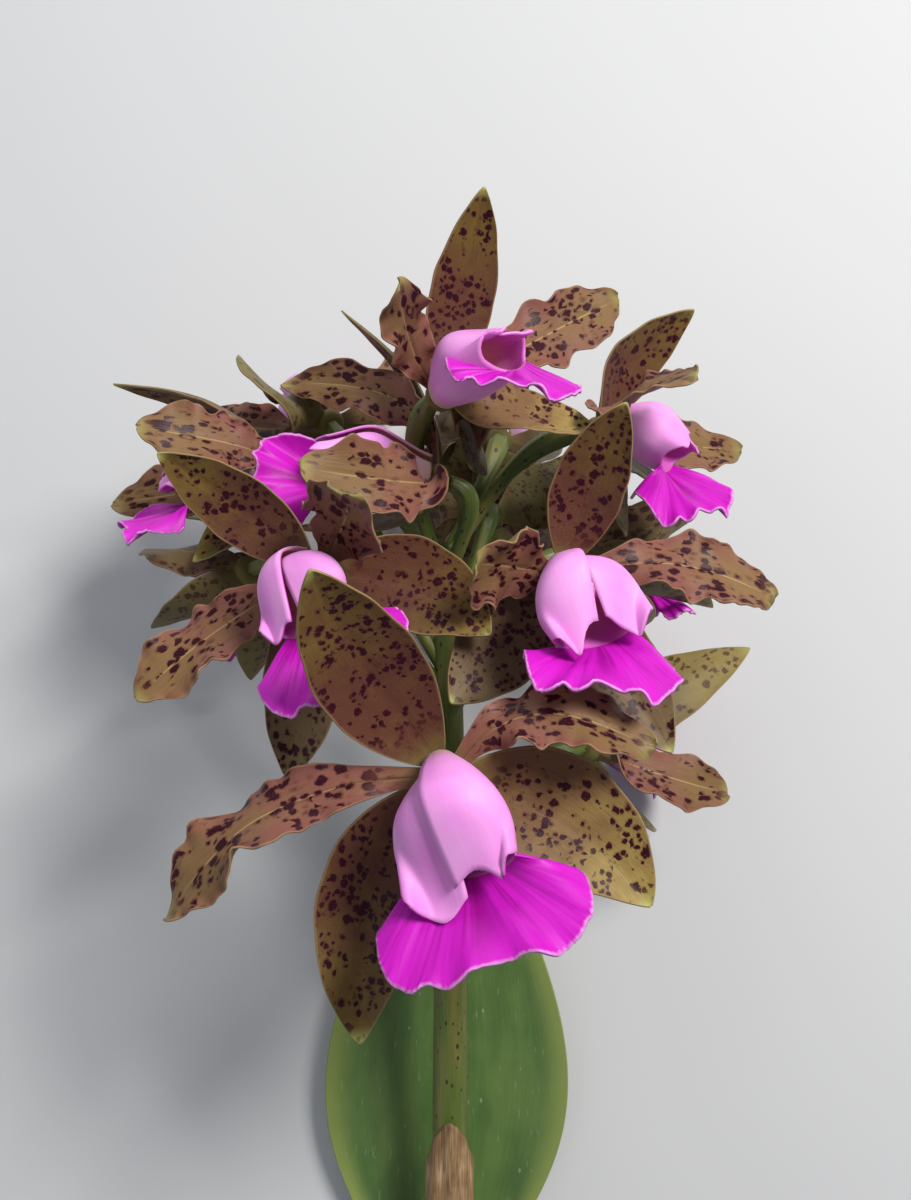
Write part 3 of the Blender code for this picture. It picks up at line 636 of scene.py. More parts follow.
@dataclass(frozen=True)
class Lip:
    """One bloom's lip: where its tube's mouth and its fan's edge are, from the hub."""

    mouth: Triple
    fan: Triple
    up: Triple | None = None  # from the tube's floor to its seam, or else as the dorsal sepal
    fan_looks: Triple | None = None  # where the fan's face looks, or else up and ahead
    fan_width: float = 24.0
    gape: float = 0.0  # degrees that each side lobe stands away from the seam at the mouth
    hood: float = 0.5  # how far the lobes close down over the mouth
    notch: float = 0.1  # how far the lobes' edges are cut back at the seam
    curl: float = 106.0  # degrees round the fan's edge from its middle to where it turns back
    lapped: int = 1  # which lobe's edge lies outside, the one on side (1) or the other (-1)
    skew: float = 0.0  # how much further that side's lobe reaches than the other
    column_reach: float = 0.62  # how far the column runs, as a share of the tube
    droop: float = 3.0  # how far the fan's edge bends down
    size: float = 1.0
    form: LipForm = LIP


@dataclass(frozen=True)
class BackLip(Lip):
    """A lip at the back of the head, in less detail."""

    form: LipForm = BACK_LIP


@dataclass(frozen=True)
class Bloom:
    """One flower. Its hub is on the shoot's axes, and all else is measured from the hub."""

    name: str
    hub: Triple
    face: Triple  # the way the flower looks
    dorsal: Blade
    petals: tuple[Blade, Blade]
    laterals: tuple[Blade, Blade]
    lip: Lip
    stalk_from: float  # height on the stem where its stalk leaves
    stalk_by: Triple = (0, 0, 0)  # how far the stalk's middle is pushed aside
    sepal_form: BladeForm = SEPAL
    petal_form: BladeForm = PETAL

    def number(self) -> float:
        """A number of its own, from its name."""
        return float(sum(ord(letter) for letter in self.name) % 97)

    def hub_shell(self) -> Shell:
        """The small swelling where the blades meet, flattened along the bloom's face.

        Returns:
            The hub, measured from its own middle.
        """
        face = unit(self.face)
        turn = np.linspace(-math.pi / 2, math.pi / 2, HUB_ROWS)
        path = 0.98 * HUB_HALF_DEPTH * np.sin(turn)[:, None] * face
        radii = HUB_RADIUS * (HUB_END + (1 - HUB_END) * np.cos(turn) ** 0.5)
        swelling = rod(path, radii, HUB_SIDES, up=self.dorsal.tip, number=self.number())
        count = len(swelling.points)
        olive = Tone.OLIVE.value.main
        swelling.fields |= Ground(olive, olive, spots=0.0).fields(count, petal=False)
        swelling.fields["skin"] = np.tile((1.0, 0.0, 0.0), (count, 1))
        return swelling

    def tepals(self) -> Shell:
        """Sepals, petals and hub.

        Returns:
            One shell of six, in its place.
        """
        blades = [(self.dorsal, self.sepal_form)]
        blades += [(blade, self.petal_form) for blade in self.petals]
        blades += [(blade, self.sepal_form) for blade in self.laterals]
        shells = [
            blade.shell(form, self.face, self.number() + NUMBER_STEP * place)
            for place, (blade, form) in enumerate(blades)
        ]
        return self.placed(self.hub_shell().joined(shells))

    def placed(self, shell: Shell) -> Shell:
        """A shell measured from the hub, moved to where the hub is."""
        shell.points = shell.points + np.array(self.hub, float)
        return shell

    def tube_frame(self, share: Array) -> tuple[Array, Array, Array, Array]:
        """Middle line of the lip's tube, with its directions along, up and sideways.

        Args:
            share: shares of the way to the mouth; above 1 it runs straight on.

        Returns:
            Points, and three directions for each.
        """
        face = unit(self.face)
        start = face * HUB_CLEAR
        mouth = np.array(self.lip.mouth, float)
        bend = start + face * self.lip.form.tube_bend * np.linalg.norm(mouth - start)
        inside = np.clip(share, 0.0, 1.0)
        points, along = arc_path(start, bend, mouth, inside)
        beyond = (share - inside)[:, None] * np.linalg.norm(mouth - start)
        points = points + beyond * along
        up = square_to(self.lip.up or self.dorsal.tip, along)
        return points, along, up, np.cross(along, up)

    def tube_sheet(self) -> tuple[Array, Array, Array]:
        """Grid of the rolled side lobes, from one edge round the floor to the other.

        Returns:
            The points, and each one's share along the tube and place across it.
        """
        lip, form = self.lip, self.lip.form
        row = np.linspace(0.0, 1.0, form.tube_rows + 1)[:, None]
        across = np.linspace(-1.0, 1.0, form.tube_columns + 1)[None, :]
        wrap = form.base_wrap - (form.base_wrap - form.mouth_wrap + lip.gape) * row**1.6
        angle = np.radians(wrap * across)
        away = np.abs(across)
        reach = form.floor_reach + 0.2 * smooth(0.3, 0.7, away)
        reach = reach - lip.notch * smooth(0.72, 1.0, away)
        reach = reach + lip.skew * across * smooth(0.2, 0.6, away) * smooth(1.05, 0.85, away)
        share = row * (reach + 0.012 * smooth(0.3, 0.6, away) * np.sin(26.0 * across))
        swell = smooth(-0.05, 0.72, share)
        wide = form.base_radius + (form.tube_half_width * lip.size - form.base_radius) * swell
        high = form.base_radius + (form.tube_half_height * lip.size - form.base_radius) * swell
        roof = -np.cos(angle)
        over = lip.hood * smooth(0.5, 1.1, share)
        rise = np.where(roof > 0, roof * (1 - over) - 0.55 * over * smooth(0.0, 0.6, roof), roof)
        out = np.sin(angle) * (1 - 0.3 * over * smooth(-0.3, 0.5, roof))
        lap = form.lap * smooth(0.45, 0.9, lip.lapped * across)
        hem = smooth(0.7, 1.0, row) * smooth(0.3, 0.6, away)
        lap = lap + form.lobe_ripple * hem * np.sin(19.0 * across + self.number())
        grid = np.empty(share.shape + (3,))
        for column in range(form.tube_columns + 1):
            points, along, up, side = self.tube_frame(share[:, column])
            wall, bent = lap[:, column], over[:, column] * np.maximum(roof[:, column], 0.0)
            wider = wide[:, column] * out[:, column] + wall * np.sin(angle[:, column])
            higher = high[:, column] * rise[:, column] + wall * roof[:, column] * (1 - 0.5 * bent)
            grid[:, column] = points + wider[:, None] * side + higher[:, None] * up
            grid[:, column] += (0.6 * wall * bent)[:, None] * along
        return grid, row, across

    def fan_edge(self, across: Array) -> tuple[Array, Array]:
        """The fan's outline: how far out and how far ahead its edge is, as shares.

        Args:
            across: places across the fan, from -1 to 1.

        Returns:
            Shares of the fan's half width, and of its reach.
        """
        turn = np.radians(self.lip.curl) * across
        out = np.sign(turn) * np.abs(np.sin(turn)) ** 0.75
        bend = np.cos(turn)
        ahead = 0.42 + np.where(bend > 0, 0.58, -0.42) * np.abs(bend) ** 0.6
        return out, ahead - 0.07 * hump(0.0, 0.1, across)

    def fan_sheet(self, neck: Array) -> tuple[Array, Array, Array]:
        """Rows of points on the lip's fan, from just ahead of its neck to its waved edge.

        Args:
            neck: points of the tube's front edge that the fan grows from.

        Returns:
            The points, and each one's share from neck to edge and place across.
        """
        lip, form = self.lip, self.lip.form
        middle = neck[len(neck) // 2]
        _, along, up, _ = (value[0] for value in self.tube_frame(np.array([form.floor_reach])))
        ahead = unit(np.array(lip.fan, float) - middle)
        normal = square_to(lip.fan_looks or up + 0.8 * along, ahead)
        side = np.cross(ahead, normal)
        reach = np.linalg.norm(np.array(lip.fan, float) - middle)
        across = np.linspace(-1.0, 1.0, form.fan_columns + 1)
        out, far = self.fan_edge(across)
        far = far * reach + form.fan_nick * np.sin(31.0 * across + self.number())
        far = far + form.fan_scallop * np.sin(12.0 * across + 2.0 * np.sin(4.0 * across))
        edge = middle + far[:, None] * ahead + (lip.fan_width / 2 * out)[:, None] * side
        place = np.linspace(-1.0, 1.0, len(neck))
        start = np.stack([np.interp(across, place, neck[:, axis]) for axis in range(3)], -1)
        rows = []
        shares = np.arange(1, form.fan_rows + 1) / form.fan_rows
        for share in shares:
            fall = -lip.droop * share**2.2 * (1 + 0.5 * across**2)
            wave = form.fan_wave * share**1.5 * np.cos(8.3 * across + 0.6 * np.sin(self.number()))
            ripple = form.frill * share**5 * np.sin(19.0 * across + 2.5 * np.sin(5.0 * across))
            fringe = form.fringe * share**14 * np.sin(90.0 * across + 3.0 * np.sin(17.0 * across))
            fold = form.fan_fold * share * (1.15 - share) * hump(0.0, 0.07, across)
            veins = smooth(0.0, 0.3, share) * (1 - share) * np.cos(38.0 * across)
            lift = fall + wave + ripple + fringe - fold - form.fan_groove * veins
            rows.append(start + share * (edge - start) + lift[:, None] * normal)
        return np.array(rows), shares[:, None], across

    def lip_shell(self) -> Shell:
        """The whole lip: the tube, and the fan from the tube's floor.

        Returns:
            The shell.
        """
        form = self.lip.form
        tube, tube_share, tube_across = self.tube_sheet()
        step = form.tube_columns + 1
        middle = form.tube_columns // 2
        half = round(form.neck * form.tube_columns / 2)
        mouth = form.tube_rows * step + middle
        neck = list(range(mouth - half, mouth + half + 1))
        points = tube.reshape(-1, 3)
        fan, fan_share, fan_across = self.fan_sheet(points[neck])
        count = len(points)
        first = list(range(count, count + form.fan_columns + 1))
        faces = grid_faces(form.tube_rows, form.tube_columns) + joined_rows(neck, first)
        faces += grid_faces(form.fan_rows - 1, form.fan_columns, start=count)
        places = [triples(tube_share, tube_across, 0.0), triples(fan_share, fan_across, 1.0)]
        fields = {
            "place": np.concatenate(places),
            "sheet": np.full((count + fan.shape[0] * fan.shape[1], 3), self.number()),
        }
        sheet = Shell(np.concatenate([points, fan.reshape(-1, 3)]), faces, fields)
        return self.placed(thickened(sheet, form.wall))

    def column_shell(self) -> Shell:
        """The column along the roof of the tube, with its round cap.

        Returns:
            The shell.
        """
        form = COLUMN
        share = np.linspace(0.02, self.lip.column_reach, form.rows)
        points, along, up, _ = self.tube_frame(share)
        lift = form.lift * self.lip.size * self.lip.form.tube_half_height
        path = points + (lift * smooth(0.1, 0.6, share))[:, None] * up
        part = (share - share[0]) / (share[-1] - share[0])
        turn = round_turns(form.sides)
        swell = 0.88 + 0.16 * part + 0.2 * hump(0.8, 0.16, part)
        past = np.clip((part - form.round_from) / (1 - form.round_from), 0, 1)
        close = np.sqrt(np.clip(1 - past**2.2, 0.02, 1.0))
        notch = form.notch * hump(0.7, 0.1, part)[:, None] * np.clip(-np.sin(turn), 0, 1) ** 3
        radii = form.radius * (swell * close)[:, None] * (1 + 0.06 * np.cos(2 * turn) - notch)
        made = rod(path, radii, form.sides, up=tuple(up[0]), number=self.number())
        cap_at = path[-4] + form.cap_lift * form.radius * up[-4]
        ball = np.linspace(-0.98, 0.98, form.cap_rows)
        axis = unit(along[-1] + 0.25 * up[-1])
        cap_path = cap_at + ball[:, None] * form.cap_half_length * form.radius * axis
        cap_radii = form.cap_radius * form.radius * np.sqrt(1 - ball**2)
        cap = rod(cap_path, cap_radii, form.cap_sides, up=tuple(up[-1]), number=CAP_NUMBER)
        return self.placed(made.joined([cap]))

    def stalk_shell(self, stem: FlowerStem, number: float) -> Shell:
        """The stalk and ovary, from inside the stem to just behind the hub.

        Args:
            stem: the stem that it grows from.
            number: sets it apart from other stalks.

        Returns:
            The shell.
        """
        start = stem.line(self.stalk_from)
        face = unit(self.face)
        end = np.array(self.hub, float) - face * HUB_CLEAR
        pull = stem.stalk_pull * np.linalg.norm(end - start)
        outward = unit((end[0] - start[0], 0.0, end[2] - start[2]))
        aside = np.array(self.stalk_by, float)
        rising = unit(stem.stalk_out * outward + np.array([0.0, stem.stalk_rise, 0.0]))
        leave = start + pull * rising + 1.8 * aside
        arrive = end - pull * face
        arrive = arrive + 0.8 * square_to(aside + 1e-9, face) * np.linalg.norm(aside)
        share = np.linspace(0.0, 1.0, stem.stalk_rows + 1)[:, None]
        rest = 1 - share
        path = rest**3 * start + 3 * rest**2 * share * leave
        path = path + 3 * rest * share**2 * arrive + share**3 * end
        part = share[:, 0]
        swell = (stem.ovary_radius - stem.stalk_radius) * smooth(0.45, 0.8, part)
        radii = (stem.stalk_radius + swell) * (1 - 0.3 * smooth(0.85, 1.0, part))
        turn = round_turns(stem.stalk_sides)
        ribs = stem.ovary_rib * smooth(0.35, 0.6, part)[:, None] * np.cos(stem.ovary_ribs * turn)
        radii = radii[:, None] * (1 + ribs)
        return rod(path, radii, stem.stalk_sides, up=(0.1, 0.2, 1.0), number=number)


@dataclass(frozen=True)
class BackBloom(Bloom):
    """A flower at the back of the head, in less detail."""

    sepal_form: BladeForm = BACK_SEPAL
    petal_form: BladeForm = BACK_PETAL


# Blades in shade take the painted-shade tone, and blades in the light take the painted-light tone.
BLOOMS = (
    Bloom(
        "front_bloom",
        hub=(-2, -33, 58),
        face=(0.05, -0.1, 1),
        dorsal=Blade(tip=(-22, 38, 30), looks=(0.3, -0.4, 1), width=21, bow=-4, sway=-2),
        petals=(
            Petal(
                tip=(-55, -24, 2), looks=(-0.3, 0.75, 0.7), width=15, bow=6, sway=3, hook=-4,
                wave=1.5,
            ),
            Petal(
                tip=(38, 8, 7), looks=(0.4, 1, 0.9), width=14, bow=12, sway=4, twist=-15, hook=-3,
            ),
        ),
        laterals=(
            Blade(tip=(-16, -51, 2), looks=(-0.1, 0.1, 1), width=22, bow=-3, sway=6),
            Blade(tip=(39, -25, 2), looks=(0.1, 0.1, 1), width=24, bow=-3, sway=-5, tone=Tone.PAINTED_LIGHT),
        ),
        lip=Lip(
            mouth=(2, -17, 22), fan=(8, -28.5, 27), fan_looks=(-0.28, 0.75, 0.56), fan_width=39,
            gape=-8, hood=1, notch=0.06, curl=114, droop=2, lapped=-1, skew=0.14, form=FRONT_LIP,
        ),
        stalk_from=-66,
    ),
    Bloom(
        "left_bloom",
        hub=(-28, 6, 42),
        face=(-0.1, -0.15, 1),
        dorsal=Blade(tip=(-31, 23, 8), looks=(0.1, -0.5, 1), width=15, bow=-3),
        petals=(
            Petal(tip=(-37, -26, 2), looks=(-0.3, 0.5, 0.9), width=15, bow=3),
            Petal(tip=(9, 13, 28), looks=(-0.4, -0.6, 0.7), width=17),
        ),
        laterals=(
            Blade(tip=(-7, -44, -6), looks=(0, 0.1, 1), width=17, bow=-2, tone=Tone.PAINTED_SHADE),
            Blade(tip=(35, -13, 4), looks=(0, 0.1, 1), width=20, bow=-2, sway=-4),
        ),
        lip=Lip(
            mouth=(-3, -9, 20), fan=(8, -21, 25), up=(-0.54, 0.84, 0.2),
            fan_looks=(-0.33, 0.68, 0.64), fan_width=31, gape=2, hood=1, size=0.85, droop=1,
        ),
        stalk_from=-38,
    ),
    Bloom(
        "right_bloom",
        hub=(22, 5, 40),
        face=(0.15, -0.15, 1),
        dorsal=Blade(tip=(11, 33, 16), looks=(-0.1, -0.35, 1), width=15, bow=-3, sway=-1),
        petals=(
            Petal(tip=(-18, 2, 18), looks=(0.5, -0.5, 0.7), width=18, cup=1.6),
            Petal(tip=(45, -5, -4), looks=(0.1, 0.6, 0.8), width=16, bow=7),
        ),
        laterals=(
            Blade(tip=(-23, -26, 4), looks=(0, 0.1, 1), width=19, bow=-3, tone=Tone.PAINTED_SHADE),
            Blade(tip=(22, -36, 4), looks=(0.1, 0.1, 1), width=18, bow=-2, tone=Tone.PAINTED_SHADE),
        ),
        lip=Lip(
            mouth=(7, -10, 21), fan=(6, -21, 29), up=(-0.2, 1, 0.3), fan_looks=(0.1, 0.75, 0.65),
            fan_width=30, gape=3, hood=1, notch=0.16, size=0.95, droop=1, column_reach=0.72,
        ),
        stalk_from=-30,
    ),
    Bloom(
        "top_bloom",
        hub=(-3, 45, 25),
        face=(0.35, 0.1, 1),
        dorsal=Blade(tip=(9, 41, 13), looks=(0.3, -0.4, 1), width=15, bow=-3, sway=1),
        petals=(
            Petal(tip=(-8, 17, 27), looks=(0.6, -0.3, 0.7), width=12),
            Petal(tip=(43, 29, -30), looks=(0, 0.2, 1), width=16, bow=-1, sway=-1, twist=-15),
        ),
        laterals=(
            Blade(
                tip=(8, -12, -32), looks=(-1, -0.1, 0.1), width=17, bow=-3, sway=-1, twist=30,
                hook=1,
            ),
            Blade(tip=(36, -7, -7), looks=(0.1, 0.7, 0.6), width=17, tone=Tone.PAINTED_LIGHT),
        ),
        lip=Lip(
            mouth=(14, 10, 20), fan=(14, -3, 26), up=(-0.1, 1, 0.2), fan_looks=(0.1, 0.45, 0.9),
            fan_width=28, gape=-4, hood=0.8, notch=0.1, size=0.8, droop=0, column_reach=0.66,
        ),
        stalk_from=6,
        stalk_by=(-4, -1, 3),
    ),
    Bloom(
        "upper_left_bloom",
        hub=(-4, 27, 18),
        face=(-1, 0.2, 0.25),
        dorsal=Blade(
            tip=(-19, 43, -12), looks=(-1, -0.3, 0), width=12, bow=-5, sway=-10, twist=-15, hook=3,
        ),
        petals=(
            Petal(
                tip=(-28, -1, 29), looks=(-0.3, 0.1, 1), width=16, bow=3, sway=-1, twist=-5, hook=1,
            ),
            Petal(
                tip=(-38, 27, -28), looks=(-1, 0.1, 0.6), width=12, bow=3, sway=9, twist=-20,
                hook=1,
            ),
        ),
        laterals=(
            Blade(tip=(-33, -11, 4), looks=(-0.3, 0.85, 0.3), width=16, bow=-3, tone=Tone.PAINTED_SHADE),
            Blade(
                tip=(-18, -2, -29), looks=(-0.2, 1, 0.2), width=16, bow=3, sway=10, twist=60,
                hook=3, tone=Tone.OLIVE,
            ),
        ),
        lip=Lip(
            mouth=(-27, 6, 5), fan=(-41, 2, 9), up=(0.2, 1, 0.1), fan_looks=(0.1, 0.35, 1),
            fan_width=20, droop=0, size=0.85,
        ),
        stalk_from=0,
        stalk_by=(-1, -1, 0),
    ),
    Bloom(
        "far_left_bloom",
        hub=(-46, 33, 0),
        face=(-0.9, 0, 0.2),
        dorsal=Blade(tip=(-37, 21, -4), looks=(0, -1, 0.15), width=17, bow=-3, sway=-2, hook=1),
        petals=(
            Petal(tip=(-26, 6, 18), looks=(0.1, 0.4, 0.9), width=16),
            Petal(tip=(-43, -8, -18), looks=(0.2, 0.1, 1), width=15, twist=-15, hook=-1),
        ),
        laterals=(
            Blade(tip=(-16, -24, 6), looks=(-0.5, 0.5, 0.8), width=16, tone=Tone.OLIVE),
            Blade(
                tip=(-19, -11, -40), looks=(-0.6, 0.5, 0.3), width=16, sway=1, twist=10,
                tone=Tone.OLIVE,
            ),
        ),
        lip=Lip(
            mouth=(-23, -7, 4), fan=(-33, -16, 8), up=(0.2, 1, 0), fan_looks=(-0.4, 0.8, 0.45),
            fan_width=19, droop=1, size=0.78,
        ),
        stalk_from=-18,
        stalk_by=(-1, 0, 0),
    ),
    Bloom(
        "upper_right_bloom",
        hub=(33, 39, 10),
        face=(0.95, 0, 0.3),
        dorsal=Blade(tip=(23, 29, -2), looks=(0.4, -0.5, 0.75), width=16, bow=-2),
        petals=(
            Petal(tip=(17, 8, 30), looks=(0.1, 0.7, 0.7), width=15),
            Petal(tip=(42, 0, -30), looks=(0.5, 0.3, 1), width=14, bow=7, sway=2, hook=-1),
        ),
        laterals=(
            Blade(
                tip=(22, -10, -30), looks=(0.8, 1, 0.8), width=16, bow=-2, sway=-3, twist=5,
                tone=Tone.OLIVE,
            ),
            Blade(tip=(7, -24, -2), looks=(0.8, 0.2, 0.4), width=15, tone=Tone.OLIVE),
        ),
        lip=Lip(
            mouth=(20, -5, 7), fan=(22, -20, 16), up=(0.1, 1, 0.1), fan_looks=(0.1, 0.7, 0.7),
            fan_width=22, gape=12, hood=0.5, droop=1, size=0.76,
        ),
        stalk_from=10,
        stalk_by=(1, 0, -1),
    ),
    BackBloom(
        "back_top_bloom",
        hub=(11, 41, -20),
        face=(0, 0.1, -1),
        dorsal=Blade(tip=(0, 36, -30), looks=(0, -0.5, -1), width=17),
        petals=(
            Petal(tip=(19, 1, -30), looks=(0, 0.3, -1), width=14),
            Petal(tip=(-18, 4, -30), looks=(0, 0.3, -1), width=14),
        ),
        laterals=(
            Blade(
                tip=(10, -31, -22), looks=(0, 0.2, -1), width=17, bow=9, sway=-2, twist=-15,
                hook=-1, tone=Tone.OLIVE,
            ),
            Blade(
                tip=(-16, -25, -28), looks=(0.2, 0.9, -1), width=16, bow=7, sway=-3, twist=20,
                hook=-2, tone=Tone.OLIVE,
            ),
        ),
        lip=BackLip(mouth=(2, 5, -34), fan=(0, -31, -27), gape=3, droop=2, size=1.01),
        stalk_from=11,
        stalk_by=(1, 0, 0),
    ),
    BackBloom(
        "lower_right_bloom",
        hub=(32, -35, 2),
        face=(0.7, 0, -0.7),
        dorsal=Blade(tip=(41, 23, -10), looks=(0.2, -0.4, -0.9), width=18, tone=Tone.PAINTED_LIGHT),
        petals=(
            Petal(tip=(34, -12, -4), looks=(0.2, 0.4, 0.9), width=13, bow=2),
            Petal(tip=(10, 20, -37), looks=(0.5, -0.3, -0.6), width=15),
        ),
        laterals=(
            Blade(
                tip=(23, -26, -34), looks=(1, 0.4, -0.5), width=15, bow=2, twist=-15, hook=-1,
                tone=Tone.OLIVE,
            ),
            Blade(tip=(-6, -22, -36), looks=(0.5, 0.3, -0.6), width=16, tone=Tone.OLIVE),
        ),
        lip=BackLip(mouth=(19, -4, -27), fan=(26.5, -10.5, -32), gape=4, droop=2.5),
        stalk_from=-52,
    ),
    BackBloom(
        "back_middle_bloom",
        hub=(9, 21, -14),
        face=(0.1, -0.3, -1),
        dorsal=Blade(
            tip=(30, 23, -21), looks=(-0.2, 0, -1), width=17, bow=7, sway=-8, twist=30, hook=5,
            tone=Tone.OLIVE,
        ),
        petals=(
            Petal(tip=(23, -8, -30), looks=(-0.1, 0, -1), width=13),
            Petal(tip=(-26, 4, -35), looks=(0, 0, -1), width=13, bow=-1, twist=5),
        ),
        laterals=(
            Blade(
                tip=(9, -30, -4), looks=(0.1, 0.3, -1), width=15, bow=-4, hook=2, tone=Tone.OLIVE,
            ),
            Blade(tip=(-11, -32, -22), looks=(0, 0.2, -1), width=17, tone=Tone.OLIVE),
        ),
        lip=BackLip(mouth=(-4, -12, -16), fan=(-2, -20, -26)),
        stalk_from=-6,
        stalk_by=(1, -1, -1),
    ),
    BackBloom(
        "back_right_bloom",
        hub=(30, 10, -2),
        face=(0.6, -0.1, -0.8),
        dorsal=Blade(tip=(14, 20, -18), looks=(0.8, -0.1, -1), width=16, sway=1, tone=Tone.OLIVE),
        petals=(
            Petal(tip=(30, 12, -8), looks=(0.5, 0.4, -1), width=14, sway=-1, twist=-15),
            Petal(tip=(10, -6, -41), looks=(1, 0.5, -0.6), width=14),
        ),
        laterals=(
            Blade(
                tip=(20, -13, -12), looks=(0.5, 1, -0.7), width=17, bow=-9, sway=3, twist=35,
                hook=-2, tone=Tone.OLIVE,
            ),
            Blade(tip=(37, -13, -19), looks=(0.4, 0.5, -0.8), width=16, sway=3, hook=1),
        ),
        lip=BackLip(mouth=(26, -1, -30), fan=(18, -10, -21), gape=9, droop=6, size=0.9),
        stalk_from=-12,
    ),
    BackBloom(
        "lower_left_bloom",
        hub=(-50, 7, 0),
        face=(-0.6, -0.2, -0.75),
        dorsal=Blade(
            tip=(-25, 16, -27), looks=(-1, -0.5, -0.6), width=17, bow=-2, sway=-8, twist=-15,
        ),
        petals=(
            Petal(tip=(-30, 6, -19), looks=(-0.7, -0.4, -1), width=14, sway=2, twist=-10),
            Petal(tip=(14, -4, -40), looks=(-0.5, 0, -0.6), width=14),
        ),
        laterals=(
            Blade(
                tip=(-26, -14, -11), looks=(-0.6, 0.5, -1), width=15, bow=-4, sway=-1, twist=35,
                tone=Tone.PAINTED_SHADE,
            ),
            Blade(tip=(-4, -28, -26), looks=(-0.5, 0.3, -0.6), width=16),
        ),
        lip=BackLip(mouth=(-12, -8, -22), fan=(-16, -20, -28)),
        stalk_from=-24,
    ),
    BackBloom(
        "back_left_bloom",
        hub=(-32, 45, -15),
        face=(-0.4, 0.5, -0.8),
        dorsal=Blade(
            tip=(-23, 15, 5), looks=(-0.9, -1, 0.3), width=15, bow=3, sway=6, twist=20, hook=-1,
            tone=Tone.OLIVE,
        ),
        petals=(
            Petal(tip=(-38, 3, -10), looks=(0, 0.4, 0.9), width=14),
            Petal(tip=(20, 24, -34), looks=(-0.3, 0.2, -0.8), width=14),
        ),
        laterals=(
            Blade(tip=(-29, -8, -37), looks=(0.2, 0.7, -1), width=16, tone=Tone.OLIVE),
            Blade(tip=(6, 2, -42), looks=(-0.3, 0.3, -0.5), width=16, tone=Tone.OLIVE),
        ),
        lip=BackLip(mouth=(-14, 9, -35.5), fan=(-9, 0, -31.5), gape=5, droop=1),
        stalk_from=6,
        stalk_by=(-1, -1, -1),
    ),
)


class Signal:
    """A number that varies over a surface, as a socket that expressions can be made from."""

    def __init__(self, graph: Graph, socket: bpy.types.NodeSocket) -> None:
        """Wraps a socket of a graph."""
        self.graph = graph
        self.socket = socket

    def maths(self, operation: str, *others: Signal | float, before: bool = False) -> Signal:
        """One Math node on this signal and others.

        Args:
            operation: the Math node's operation.
            others: what it is worked out with.
            before: whether the others come first.

        Returns:
            The result.
        """
        values = [*others, self] if before else [self, *others]
        made = self.graph.node("ShaderNodeMath", {"operation": operation}, dict(enumerate(values)))
        return Signal(self.graph, made.outputs[0])

    def __add__(self, other: Signal | float) -> Signal:
        """Sum."""
        return self.maths("ADD", other)

    __radd__ = __add__

    def __sub__(self, other: Signal | float) -> Signal:
        """Difference."""
        return self.maths("SUBTRACT", other)

    def __rsub__(self, other: float) -> Signal:
        """Difference from a number."""
        return self.maths("SUBTRACT", other, before=True)

    def __mul__(self, other: Signal | float) -> Signal:
        """Product."""
        return self.maths("MULTIPLY", other)

    __rmul__ = __mul__

    def __truediv__(self, other: Signal | float) -> Signal:
        """Quotient."""
        return self.maths("DIVIDE", other)

    def __rtruediv__(self, other: float) -> Signal:
        """Quotient of a number by it."""
        return self.maths("DIVIDE", other, before=True)

    def size(self) -> Signal:
        """Its value without its sign."""
        return self.maths("ABSOLUTE")

    def larger(self, other: Signal | float) -> Signal:
        """The larger of the two."""
        return self.maths("MAXIMUM", other)

    def smaller(self, other: Signal | float) -> Signal:
        """The smaller of the two."""
        return self.maths("MINIMUM", other)

    def rise(self, low: float, high: float, to: tuple[float, float] = (0.0, 1.0)) -> Signal:
        """An even S from low to high, between two values.

        Args:
            low: where it starts.
            high: where it ends.
            to: its values there.

        Returns:
            The result.
        """
        settings = {"interpolation_type": "SMOOTHSTEP"}
        inputs = {"Value": self, "From Min": low, "From Max": high}
        inputs |= {"To Min": to[0], "To Max": to[1]}
        made = self.graph.node("ShaderNodeMapRange", settings, inputs)
        return Signal(self.graph, made.outputs[0])


Paint = bpy.types.NodeSocket | tuple[float, float, float]


